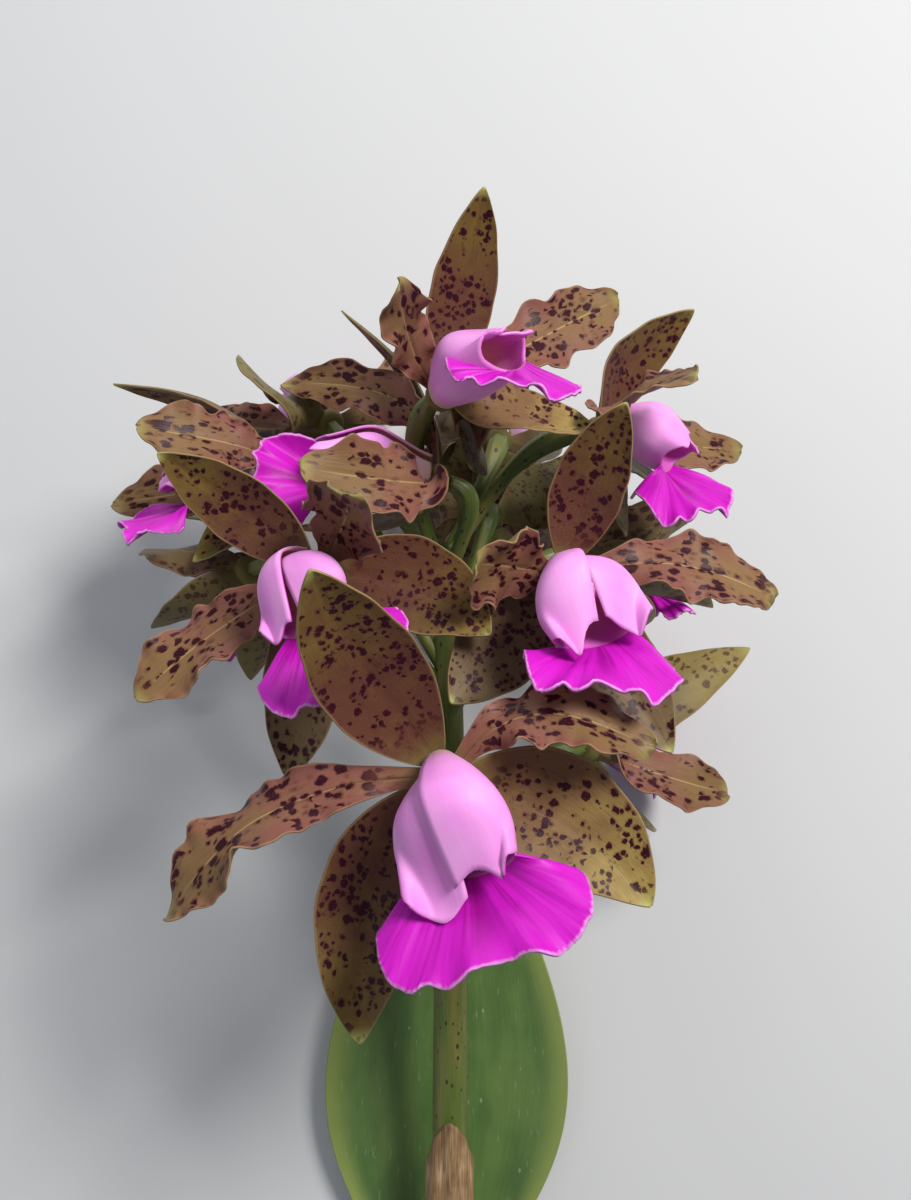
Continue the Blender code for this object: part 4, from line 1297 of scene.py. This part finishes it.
class Graph:
    """The nodes of one material."""

    def __init__(self, name: str) -> None:
        """Starts a material with a bare shader.

        Args:
            name: the material's name.
        """
        self.material = bpy.data.materials.new(name)
        self.material.use_nodes = True
        self.nodes = self.material.node_tree.nodes
        self.links = self.material.node_tree.links
        self.shader = self.nodes["Principled BSDF"]

    def fill(self, node: bpy.types.Node, inputs: dict) -> None:
        """Sets or links a node's sockets, by name or number.

        Args:
            node: the node.
            inputs: values or links, by name or number.
        """
        for key, value in inputs.items():
            if isinstance(value, Signal):
                self.links.new(value.socket, node.inputs[key])
            elif isinstance(value, bpy.types.NodeSocket):
                self.links.new(value, node.inputs[key])
            elif isinstance(value, tuple) and node.inputs[key].type == "RGBA":
                node.inputs[key].default_value = (*value, 1.0)
            else:
                node.inputs[key].default_value = value

    def node(
        self, kind: str, settings: dict | None = None, inputs: dict | None = None
    ) -> bpy.types.Node:
        """Adds a node.

        Args:
            kind: the node's type.
            settings: its own values, set first.
            inputs: values or links of its sockets, by name or number.

        Returns:
            The node.
        """
        made = self.nodes.new(kind)
        for key, value in (settings or {}).items():
            setattr(made, key, value)
        self.fill(made, inputs or {})
        return made

    def field(self, name: str) -> tuple[Signal, Signal, Signal]:
        """The three numbers of a mesh's own field."""
        made = self.node("ShaderNodeAttribute", {"attribute_name": name})
        return self.parts(made.outputs["Vector"])

    def tint(self, name: str) -> bpy.types.NodeSocket:
        """A mesh's own field as a colour."""
        return self.node("ShaderNodeAttribute", {"attribute_name": name}).outputs["Color"]

    def parts(self, vector: bpy.types.NodeSocket) -> tuple[Signal, Signal, Signal]:
        """A vector's three numbers."""
        made = self.node("ShaderNodeSeparateXYZ", None, {0: vector})
        return tuple(Signal(self, socket) for socket in made.outputs)

    def vector(
        self, x: Signal | float, y: Signal | float, z: Signal | float
    ) -> bpy.types.NodeSocket:
        """A vector from three numbers."""
        return self.node("ShaderNodeCombineXYZ", None, {0: x, 1: y, 2: z}).outputs[0]

    def noise(self, vector: bpy.types.NodeSocket, scale: float, detail: float = 2.0) -> Signal:
        """Soft random values from 0 to 1, about 0.5."""
        inputs = {"Vector": vector, "Scale": scale, "Detail": detail}
        return Signal(self, self.node("ShaderNodeTexNoise", None, inputs).outputs[0])

    def grain(
        self, x: Signal | float, y: Signal | float, z: Signal | float, detail: float
    ) -> Signal:
        """Soft random values at the place that three numbers give."""
        return self.noise(self.vector(x, y, z), 1.0, detail)

    def cells(self, vector: bpy.types.NodeSocket, scale: float) -> tuple[Signal, Signal, Signal]:
        """Distance to the middle of the nearest random cell, and two values of its own.

        Args:
            vector: the place.
            scale: cells in a unit of length.

        Returns:
            The distance, and two random values of the cell.
        """
        made = self.node("ShaderNodeTexVoronoi", None, {"Vector": vector, "Scale": scale})
        red, green, _ = self.parts(made.outputs["Color"])
        return Signal(self, made.outputs["Distance"]), red, green

    def mix(self, share: Signal | float, low: Paint, high: Paint) -> bpy.types.NodeSocket:
        """A colour between two."""
        settings = {"data_type": "RGBA"}
        return self.node("ShaderNodeMix", settings, {0: share, 6: low, 7: high}).outputs[2]

    def bump(self, height: Signal, strength: float, distance: float) -> bpy.types.NodeSocket:
        """A normal from a height, with a distance in millimetres."""
        inputs = {"Height": height, "Strength": strength, "Distance": distance * MM}
        return self.node("ShaderNodeBump", None, inputs).outputs[0]

    def finished(self, sockets: dict) -> bpy.types.Material:
        """The material, once its shader's sockets are set or linked."""
        self.fill(self.shader, sockets)
        return self.material


@dataclass(frozen=True)
class Finish:
    """What all finishes have besides their colours."""

    rough: tuple[float, float] = (0.4, 0.54)  # roughness of its smoothest and roughest places
    relief: float = 0.55  # how strongly its grain shows
    depth: float = 0.16  # of the grain, in millimetres
    gloss: float = 0.18

    def dress(
        self, graph: Graph, colour: Paint, roughness: Signal | float, height: Signal
    ) -> bpy.types.Material:
        """A graph's material, with its colour, roughness and grain.

        Args:
            graph: the material's nodes.
            colour: its colour.
            roughness: its roughness.
            height: height of its grain, from 0 to 1.

        Returns:
            The material.
        """
        normal = graph.bump(height, self.relief, self.depth)
        sockets = {"Base Color": colour, "Roughness": roughness, "Normal": normal}
        return graph.finished(sockets | {"Specular IOR Level": self.gloss})


@dataclass(frozen=True)
class SpotSize:
    """One of the sizes that spots come in."""

    cell: float  # millimetres between spots
    largest: float  # radius of the largest, as a share of a cell
    part: float  # share of the cells that may hold one


@dataclass(frozen=True)
class SpottedFinish(Finish):
    """Waxy skin of the sepals and petals, with dark spots and painted glints."""

    spot: Triple = (0.028, 0.001, 0.008)
    halo: Triple = (0.085, 0.018, 0.016)
    tip: Triple = (0.42, 0.44, 0.13)
    margin: Triple = (0.36, 0.24, 0.12)
    back: Triple = (0.17, 0.15, 0.055)
    sizes: tuple[SpotSize, ...] = (SpotSize(2.05, 0.46, 1.0), SpotSize(1.4, 0.42, 0.6))
    stray: float = 1.3  # how far spots stray from an even spread, in millimetres
    apart: float = 7.3  # how far apart two blades lie in the random values

    def spots(
        self, graph: Graph, across: Signal, along: Signal, number: Signal
    ) -> tuple[Signal, Signal]:
        """Where the spots and the rings round them are, from 0 to 1.

        Args:
            graph: the skin's nodes.
            across: millimetres across the blade.
            along: millimetres along it.
            number: sets the blade apart from the others.

        Returns:
            Spots, and spots with their rings.
        """
        amount, stretch, _ = graph.field("marks")
        share, edge, _ = graph.field("place")
        plain = graph.vector(across, along / stretch, number * self.apart)
        shift = graph.noise(plain, 0.75, 3.0) - 0.5
        shift_along = graph.noise(plain, 0.9, 3.0) - 0.5
        moved = graph.vector(
            across + shift * self.stray,
            along / stretch + shift_along * self.stray,
            number * self.apart,
        )
        cluster = graph.noise(plain, 0.19, 2.0).rise(0.4, 0.58, (0.18, 1.4))
        ends = share.rise(0.06, 0.28) * share.rise(0.985, 0.9, (0.35, 1.0))
        ends = ends * edge.size().rise(1.0, 0.9)
        masks, rings = [], []
        for size in self.sizes:
            distance, chance, girth = graph.cells(moved, 1.0 / size.cell)
            ragged = distance + (graph.noise(plain, 2.6, 2.0) - 0.5) * 0.14
            inward = (girth * 0.5 + 0.5) * size.largest - ragged
            chosen = (amount * size.part * cluster - chance).rise(-0.02, 0.02)
            masks.append(inward.rise(-0.02, 0.02) * chosen)
            rings.append(inward.rise(-0.2, 0.0) * chosen)
        return masks[0].larger(masks[1]) * ends, rings[0].larger(rings[1]) * ends

    def material(self) -> bpy.types.Material:
        """The skin's material.

        Returns:
            The material.
        """
        graph = Graph("spotted_skin")
        share, edge, _ = graph.field("place")
        across, along, number = graph.field("sheet")
        _, _, petal = graph.field("marks")
        inner, _, _ = graph.field("skin")
        sheet = graph.vector(across, along, number * self.apart)
        fibre = graph.grain(across * 3.2, along * 0.25, number, detail=3.0)
        cloud = graph.noise(sheet, 0.16, 2.0)
        rim = edge.size()
        # Flush towards the root, in random clouds and on petal edges: partly the blade's own
        # colour, partly painted shade.
        flushed_and_shaded = share.rise(1.0, 0.35) + petal * rim.rise(0.35, 0.95) * 0.6 - petal * 0.25
        flushed_and_shaded = (flushed_and_shaded + (cloud - 0.5) * 1.3 + (fibre - 0.5) * 0.25).smaller(1.0).larger(0.0)
        colour = graph.mix(flushed_and_shaded, graph.tint("ground"), graph.tint("flush_and_shade"))
        colour = graph.mix(fibre.rise(0.3, 0.8) * 0.25, colour, (0.08, 0.04, 0.015))
        midrib = rim.rise(0.045, 0.0) * petal * share.rise(0.1, 0.4) * share.rise(1.0, 0.8)
        colour = graph.mix(midrib * 0.55, colour, (0.5, 0.4, 0.16))
        green = share.rise(0.94, 1.0) * (0.85 - petal * 0.5)
        colour = graph.mix(green, colour, self.tip)
        colour = graph.mix(share.rise(0.16, 0.0) * 0.6, colour, (0.22, 0.19, 0.06))
        behind = inner.rise(0.5, -0.5)
        colour = graph.mix(behind * 0.55, colour, self.back)
        colour = graph.mix(rim.rise(0.94, 1.0) * 0.5, colour, self.margin)
        spots, rings = self.spots(graph, across, along, number)
        shown = spots * (1.0 - behind * 0.35)
        colour = graph.mix(rings * (0.6 - behind * 0.3), colour, self.halo)
        colour = graph.mix(shown * 0.98, colour, self.spot)
        grain = graph.noise(sheet, 5.5, 2.0)
        # pale golden specks from the fine grain: painted glints of the waxy skin's sparkle
        colour = graph.mix(grain.rise(0.62, 0.8) * 0.4, colour, (0.5, 0.38, 0.16))
        height = fibre * 0.6 + grain * 0.35 - spots * 0.15
        roughness = grain.rise(0.3, 0.7, self.rough) - shown * 0.08
        return self.dress(graph, colour, roughness, height)


@dataclass(frozen=True)
class LipFinish(Finish):
    """Velvety fan, and the paler lobes of the tube."""

    rough: tuple[float, float] = (0.38, 0.55)
    relief: float = 0.45
    depth: float = 0.2
    gloss: float = 0.25
    lobe: Triple = (0.8, 0.27, 0.73)
    lobe_pale: Triple = (0.84, 0.39, 0.79)
    lobe_deep: Triple = (0.68, 0.12, 0.56)
    cream: Triple = (0.6, 0.42, 0.26)
    fan: Triple = (0.58, 0.009, 0.51)
    fan_deep: Triple = (0.29, 0.001, 0.22)
    rim: Triple = (0.84, 0.45, 0.8)
    throat: Triple = (0.8, 0.45, 0.34)
    under: Triple = (0.5, 0.02, 0.46)

    def material(self) -> bpy.types.Material:
        """The lip's material.

        Returns:
            The material.
        """
        graph = Graph("lip_skin")
        share, across, part = graph.field("place")
        number, _, _ = graph.field("sheet")
        inner, _, _ = graph.field("skin")
        away = across.size()
        behind = inner.rise(0.5, -0.5)
        veins = graph.grain(across * 26.0, share * 1.2, number, detail=3.0)
        cloud = graph.grain(across * 3.0, share * 3.0, number, detail=2.0)
        deep = veins.rise(0.42, 0.7) * share.rise(1.0, 0.3, (0.25, 0.7)) + (cloud - 0.5) * 0.5
        fan = graph.mix(deep.larger(0.0).smaller(1.0), self.fan, self.fan_deep)
        ragged = graph.grain(across * 40.0, share * 2.0, number, detail=3.0) - 0.5
        edge = (share + ragged * 0.06 + away.rise(0.9, 1.0) * 0.02).rise(0.96, 1.01)
        fan = graph.mix(edge * 0.75, fan, self.rim)
        middle = away.rise(0.09, 0.0) * share.rise(1.0, 0.5)
        fan = graph.mix(middle * 0.7, fan, self.fan_deep)
        fan = graph.mix(behind * 0.6, fan, self.under)
        lobe = graph.mix(cloud.rise(0.25, 0.75), self.lobe, self.lobe_pale)
        lobe = graph.mix(veins.rise(0.5, 0.8) * 0.14, lobe, self.lobe_deep)
        lobe = graph.mix(share.rise(0.65, 1.0) * away.rise(0.95, 0.2) * 0.5, lobe, self.lobe_deep)
        lobe = graph.mix(share.rise(0.35, 0.02) * 0.8, lobe, self.cream)
        inside = graph.mix(share.rise(0.3, 0.9), self.throat, self.lobe_deep)
        lobe = graph.mix((1.0 - behind) * 0.9, lobe, inside)
        colour = graph.mix(part, lobe, fan)
        grain = graph.grain(across * 60.0, share * 50.0, number, detail=2.0)
        height = veins * 0.45 + grain * 0.3
        return self.dress(graph, colour, grain.rise(0.2, 0.8, self.rough), height)


@dataclass(frozen=True)
class ColumnFinish(Finish):
    """Satin column, white to peach, with a pink cap."""

    rough: tuple[float, float] = (0.3, 0.42)
    relief: float = 0.3
    depth: float = 0.2
    gloss: float = 0.5
    white: Triple = (0.85, 0.66, 0.5)
    blush: Triple = (0.8, 0.3, 0.5)
    cap: Triple = (0.72, 0.18, 0.5)

    def material(self) -> bpy.types.Material:
        """The column's material.

        Returns:
            The material.
        """
        graph = Graph("column_skin")
        share, around, number = graph.field("place")
        capped = number.rise(-0.2, -0.8)
        cloud = graph.grain(share * 6.0, around * 5.0, number, detail=2.0)
        blushed = (share.rise(0.35, 1.0) * 0.7 + (cloud - 0.5) * 0.5).larger(0.0)
        colour = graph.mix(blushed, self.white, self.blush)
        colour = graph.mix(capped * cloud.rise(0.2, 0.7, (0.7, 1.0)), colour, self.cap)
        return self.dress(graph, colour, cloud.rise(0.2, 0.8, self.rough), cloud)


@dataclass(frozen=True)
class StemFinish(Finish):
    """Olive-green skin with dark specks."""

    rough: tuple[float, float] = (0.38, 0.52)
    relief: float = 0.5
    depth: float = 0.3
    gloss: float = 0.45
    green: Triple = (0.07, 0.12, 0.015)
    yellow: Triple = (0.175, 0.155, 0.035)
    speck: Triple = (0.035, 0.01, 0.012)

    def material(self) -> bpy.types.Material:
        """The stem's material.

        Returns:
            The material.
        """
        graph = Graph("stem_skin")
        _, _, number = graph.field("place")
        across, along, _ = graph.field("sheet")
        sheet = graph.vector(across, along * 0.6, number * 5.1)
        cloud = graph.grain(across * 0.3, along * 0.05, number, detail=2.0)
        fibre = graph.grain(across * 2.2, along * 0.12, number, detail=3.0)
        colour = graph.mix((cloud * 0.9 + fibre * 0.2).rise(0.35, 0.8), self.green, self.yellow)
        distance, chance, girth = graph.cells(sheet, 0.8)
        specks = (girth * 0.18 + 0.14 - distance).rise(-0.04, 0.03) * chance.rise(0.5, 0.52)
        dense = graph.noise(sheet, 0.08, 1.0).rise(0.36, 0.55)
        colour = graph.mix(specks * dense * 0.9, colour, self.speck)
        return self.dress(graph, colour, fibre.rise(0.2, 0.8, self.rough), fibre)


@dataclass(frozen=True)
class LeafFinish(Finish):
    """Leathery green with pale margins and scuffs."""

    rough: tuple[float, float] = (0.3, 0.42)
    relief: float = 0.4
    depth: float = 0.3
    gloss: float = 0.5
    green: Triple = (0.11, 0.185, 0.045)
    dark: Triple = (0.06, 0.125, 0.03)
    margin: Triple = (0.24, 0.3, 0.07)
    scuff: Triple = (0.26, 0.32, 0.2)

    def material(self) -> bpy.types.Material:
        """The leaf's material.

        Returns:
            The material.
        """
        graph = Graph("leaf_skin")
        share, edge, _ = graph.field("place")
        across, along, number = graph.field("sheet")
        cloud = graph.noise(graph.vector(across, along * 0.5, number), 0.09, 3.0)
        veins = graph.grain(edge * 34.0, along * 0.03, number, detail=2.0)
        colour = graph.mix((cloud * 0.9 + veins * 0.15).rise(0.35, 0.75), self.dark, self.green)
        colour = graph.mix(edge.size().rise(0.75, 1.0) * 0.8, colour, self.margin)
        colour = graph.mix(share.rise(0.25, 0.0) * 0.5, colour, self.margin)
        distance, chance, girth = graph.cells(graph.vector(across, along * 0.6, number), 0.3)
        dots = (girth * 0.09 + 0.03 - distance).rise(-0.02, 0.02) * chance.rise(0.55, 0.57)
        streaks = graph.grain(across * 0.9, along * 0.18, number + 3.0, detail=4.0)
        scuffs = (streaks.rise(0.62, 0.72) * 0.35).larger(dots * 0.6)
        colour = graph.mix(scuffs, colour, self.scuff)
        roughness = cloud.rise(0.3, 0.7, self.rough) + scuffs * 0.25
        return self.dress(graph, colour, roughness, veins * 0.7 + cloud)


@dataclass(frozen=True)
class SheathFinish(Finish):
    """Dry papery sheath with fibres."""

    rough: tuple[float, float] = (0.6, 0.8)
    relief: float = 0.7
    depth: float = 0.35
    gloss: float = 0.3
    tan: Triple = (0.42, 0.27, 0.13)
    brown: Triple = (0.13, 0.065, 0.03)
    pale: Triple = (0.62, 0.47, 0.29)

    def material(self) -> bpy.types.Material:
        """The sheath's material.

        Returns:
            The material.
        """
        graph = Graph("dry_sheath")
        share, edge, number = graph.field("place")
        across, along, _ = graph.field("sheet")
        fibre = graph.grain(across * 4.5, along * 0.1, number, detail=4.0)
        cloud = graph.grain(across * 0.5, along * 0.12, number, detail=3.0)
        colour = graph.mix((fibre * 0.7 + cloud * 0.6).rise(0.4, 0.85), self.brown, self.tan)
        colour = graph.mix((fibre * cloud).rise(0.26, 0.42) * 0.6, colour, self.pale)
        colour = graph.mix(edge.size().rise(0.8, 1.0) * 0.5, colour, self.brown)
        colour = graph.mix(share.rise(0.9, 1.0) * 0.4, colour, self.brown)
        return self.dress(graph, colour, cloud.rise(0.2, 0.8, self.rough), fibre)


@dataclass(frozen=True)
class CaneFinish(Finish):
    """Green cane with dry streaks and a pale cut end."""

    rough: tuple[float, float] = (0.45, 0.65)
    relief: float = 0.6
    depth: float = 0.4
    gloss: float = 0.4
    green: Triple = (0.2, 0.25, 0.06)
    dry: Triple = (0.4, 0.33, 0.18)
    cut: Triple = (0.5, 0.52, 0.25)

    def material(self) -> bpy.types.Material:
        """The cane's material.

        Returns:
            The material.
        """
        graph = Graph("cane_skin")
        share, _, number = graph.field("place")
        across, along, _ = graph.field("sheet")
        fibre = graph.grain(across * 2.4, along * 0.12, number, detail=4.0)
        cloud = graph.grain(across * 0.2, along * 0.15, number, detail=3.0)
        colour = graph.mix((cloud * 0.9 + fibre * 0.4).rise(0.5, 0.85), self.green, self.dry)
        colour = graph.mix(share.rise(0.03, 0.0), colour, self.cut)
        return self.dress(graph, colour, cloud.rise(0.2, 0.8, self.rough), fibre)


@dataclass(frozen=True)
class FloorFinish:
    """Plain pale floor."""

    pale: Triple = (0.6, 0.61, 0.62)
    rough: float = 0.85
    gloss: float = 0.2

    def material(self) -> bpy.types.Material:
        """The floor's material.

        Returns:
            The material.
        """
        graph = Graph("pale_floor")
        place = graph.node("ShaderNodeTexCoord").outputs["Object"]
        cloud = graph.noise(place, 2.0, 2.0)
        darker = tuple(0.97 * part for part in self.pale)
        colour = graph.mix(cloud.rise(0.2, 0.8), self.pale, darker)
        sockets = {"Base Color": colour, "Roughness": self.rough, "Specular IOR Level": self.gloss}
        return graph.finished(sockets)


class Slot(Enum):
    """The record's material slots."""

    TEPALS = "tepals"
    LIP = "lip"
    COLUMN = "column"
    STEM = "stem"
    LEAF = "leaf"
    SHEATH = "sheath"
    CANE = "cane"


def install(shell: Shell, node: str, material: bpy.types.Material) -> None:
    """Puts a finer piece in the place of a solid.

    Args:
        shell: the piece's surface.
        node: the solid that it stands for.
        material: its finish.
    """
    piece = shell.piece(f"{node}_fine")
    piece.data.materials.append(material)
    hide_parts(node)
    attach(piece, "root")
    log.info("%s: %d faces", piece.name, len(piece.data.polygons))


@dataclass
class FlowerStem:
    """Green stem with all stalks."""

    foot: float = CANE_TOP + GAP
    top: float = 14.0
    radius_low: float = 4.2
    radius_top: float = 3.3
    uneven: float = 0.012  # depth of its ridges and rings, as a share of its radius
    aside: float = -2.0  # its middle's place to the right
    swing: float = 1.5
    sway: float = 0.8
    sway_length: float = 60.0
    sides: int = 40
    rows: int = 120
    stalk_sides: int = 24
    stalk_rows: int = 44
    stalk_radius: float = 1.7
    stalk_out: float = 0.55  # how far out a stalk sets off, against how far it rises
    stalk_rise: float = 0.85
    stalk_pull: float = 0.38  # how far its ends run straight, as a share of its length
    ovary_radius: float = 2.5
    ovary_ribs: int = 6
    ovary_rib: float = 0.07

    def line(self, height: float | Array) -> Array:
        """Middle of the stem at a height.

        Args:
            height: one height or many.

        Returns:
            A point for each height.
        """
        height = np.asarray(height, float)
        swing = self.swing * smooth(-60.0, -200.0, -height)
        bend = self.aside + swing - self.sway * np.sin(height / self.sway_length)
        return np.stack([bend, height, np.zeros_like(height)], -1)

    def shell(self) -> Shell:
        """Stem and stalks.

        Returns:
            The stem's shell, with the stalks in the order of BLOOMS.
        """
        heights = np.linspace(self.foot, self.top, self.rows + 1)
        slimmer = (self.radius_top - self.radius_low) * smooth(-120.0, self.top, heights)
        radii = self.radius_low + slimmer
        turn = round_turns(self.sides)
        uneven = 1 + self.uneven * (np.sin(5 * turn) + np.sin(heights / 7.0)[:, None])
        stem = rod(self.line(heights), radii[:, None] * uneven, self.sides)
        stalks = [bloom.stalk_shell(self, 3.0 + place) for place, bloom in enumerate(BLOOMS)]
        return stem.joined(stalks)

    def build(self) -> None:
        """Makes the piece."""
        install(self.shell(), "flower_stem", StemFinish().material())


@dataclass
class Leaf:
    """The one leaf, behind the stem."""

    base: Triple = (-4.8, -193.9, -7.5)
    reach: Triple = (4.5, 124.0, -21.0)
    width: float = 62.5

    def build(self) -> None:
        """Makes the piece."""
        blade = Blade(tip=self.reach, looks=(0.0, 0.25, 1.0), width=self.width, bow=-2)
        shell = blade.shell(LEAF, (0.0, 0.3, 1.0), number=5.0, root=0.5)
        shell.points = shell.points + np.array(self.base)
        install(shell, "leaf", LeafFinish().material())


@dataclass
class Sheath:
    """Dry sheath wrapped round the front of the stem, with a pointed top."""

    top: float = -123.5
    low: float = CANE_TOP + GAP
    wall: float = 0.5
    wrap: float = math.radians(112.0)
    flare: float = 1.6  # how much further out its foot stands
    room: float = 0.775  # between the stem and its middle, with the gap between them
    point: float = 7.0  # how steeply its top falls away from the middle
    crease: float = 0.3
    keel: float = 0.9
    rows: int = 60
    columns: int = 40

    def build(self, stem: FlowerStem) -> None:
        """Makes the piece.

        Args:
            stem: the stem that it is wrapped round.
        """
        around = np.linspace(-self.wrap, self.wrap, self.columns + 1)
        top = self.top - self.point * np.abs(around) ** 1.3
        share = np.linspace(0.0, 1.0, self.rows + 1)[:, None]
        height = self.low + (top - self.low) * share
        radius = stem.radius_low + GAP + self.room + self.flare * (1 - share) ** 2
        crease = self.crease * np.sin(9.0 * around + 2.0 * share) * smooth(0.0, 0.2, share)
        keel = self.keel * hump(0.15, 0.16, around) * smooth(0.3, 0.9, share)
        radius = radius + crease + keel
        middle = stem.line(height)
        grid = np.stack([radius * np.sin(around), 0 * height, radius * np.cos(around)], -1) + middle
        edge = around / self.wrap
        fields = {
            "place": triples(share, edge, 0.0),
            "sheet": triples(radius * around, height, 0.0),
        }
        sheet = Shell(grid.reshape(-1, 3), grid_faces(self.rows, self.columns), fields)
        install(thickened(sheet, self.wall), "sheath", SheathFinish().material())


@dataclass
class Cane:
    """Cut top of the cane that the stem and leaf grow from, with a flat to lie on."""

    end: float = CANE_TOP - 28.0
    radius: float = 10.0
    # Heights above its end, and its radius there as a share of the whole
    profile: tuple[tuple[float, float], ...] = ((0, 1), (8, 1), (18, 0.96), (25, 0.88), (28, 0.8))
    cut_edge: float = 0.35  # how far the cut end's edge is rounded
    ribs: int = 11
    rib: float = 0.02
    rows: int = 40
    sides: int = 56

    def build(self, stem: FlowerStem) -> None:
        """Makes the piece.

        Args:
            stem: the stem that it carries.
        """
        knots, girths = np.array(self.profile).T
        heights = np.linspace(self.end, self.end + knots[-1], self.rows)
        radii = self.radius * np.interp(heights, self.end + knots, girths)
        radii = radii - self.cut_edge * hump(self.end, 0.7, heights)
        turn = round_turns(self.sides)
        ribs = 1 - self.rib * (0.5 + 0.5 * np.sin(self.ribs * turn + 0.4 * np.sin(3 * turn)))
        shell = rod(stem.line(heights), radii[:, None] * ribs, self.sides)
        above = shell.points @ LAY.upright() + LAY.place[2]
        shell.points = shell.points - np.minimum(above, 0.0)[:, None] * LAY.upright()
        install(shell, "cane", CaneFinish().material())


@dataclass(frozen=True)
class Lamp:
    """A square lamp that looks at the blooms, in metres and watts."""

    name: str
    place: Triple
    size: float
    power: float
    tint: Triple
    aim: Triple = (0.0, 0.05, 0.07)

    def build(self) -> None:
        """Makes the lamp."""
        lamp = bpy.data.lights.new(self.name, "AREA")
        lamp.size = self.size
        lamp.energy = self.power
        lamp.color = self.tint
        made = bpy.data.objects.new(self.name, lamp)
        made.location = self.place
        look = Vector(self.aim) - Vector(self.place)
        made.rotation_euler = look.to_track_quat("-Z", "Y").to_euler()
        bpy.context.scene.collection.objects.link(made)


LAMPS = (
    Lamp("key", (0.45, 0.4, 0.75), size=0.28, power=9.0, tint=(1.0, 0.97, 0.93)),
    Lamp("fill", (-0.6, -0.1, 0.6), size=0.7, power=0.9, tint=(0.92, 0.96, 1.0)),
    Lamp("rim", (-0.2, 0.8, 0.35), size=0.4, power=1.6, tint=(1.0, 1.0, 1.0)),
)


@dataclass
class Studio:
    """Floor, soft lights and the camera that looks down on the shoot."""

    camera_height: float = 277.6  # over the stem, on the shoot's axes
    focal: float = 1150.0  # in pixels of the picture
    picture_height: float = 1200.0
    sensor: float = 36.0
    near_limit: float = 0.01  # metres
    floor_size: float = 3.0  # metres
    lamps: tuple[Lamp, ...] = LAMPS
    sky: Triple = (0.85, 0.9, 1.0)
    sky_strength: float = 0.24

    def build(self) -> None:
        """Makes all of it."""
        half = self.floor_size / 2
        mesh = bpy.data.meshes.new("floor")
        corners = [(-half, -half, 0), (half, -half, 0), (half, half, 0), (-half, half, 0)]
        mesh.from_pydata(corners, [], [(0, 1, 2, 3)])
        floor = bpy.data.objects.new("floor", mesh)
        mesh.materials.append(FloorFinish().material())
        bpy.context.scene.collection.objects.link(floor)

        lens = bpy.data.cameras.new("camera")
        lens.sensor_width = self.sensor
        lens.lens = self.sensor * self.focal / self.picture_height
        lens.clip_start = self.near_limit
        camera = bpy.data.objects.new("camera", lens)
        camera.matrix_world = LAY.matrix() @ Matrix.Translation((0.0, 0.0, self.camera_height * MM))
        bpy.context.scene.collection.objects.link(camera)
        bpy.context.scene.camera = camera

        for lamp in self.lamps:
            lamp.build()
        world = bpy.data.worlds.new("studio")
        world.use_nodes = True
        sky = world.node_tree.nodes["Background"]
        sky.inputs["Color"].default_value = (*self.sky, 1.0)
        sky.inputs["Strength"].default_value = self.sky_strength
        bpy.context.scene.world = world
        bpy.context.scene.view_settings.view_transform = "Standard"


@dataclass
class Head:
    """All blooms."""

    blooms: tuple[Bloom, ...] = BLOOMS

    def build(self) -> None:
        """Makes each bloom's sepals and petals, lip and column."""
        skin = SpottedFinish().material()
        velvet = LipFinish().material()
        satin = ColumnFinish().material()
        for bloom in self.blooms:
            install(bloom.tepals(), f"{bloom.name}_tepals", skin)
            install(bloom.lip_shell(), f"{bloom.name}_lip", velvet)
            install(bloom.column_shell(), f"{bloom.name}_column", satin)


def main() -> None:
    """Builds the shoot and the studio."""
    logging.basicConfig(level=logging.INFO, format="%(message)s")
    stem = FlowerStem()
    stem.build()
    Leaf().build()
    Sheath().build(stem)
    Cane().build(stem)
    Head().build()
    Studio().build()
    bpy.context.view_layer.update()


if __name__ == "__main__":
    main()
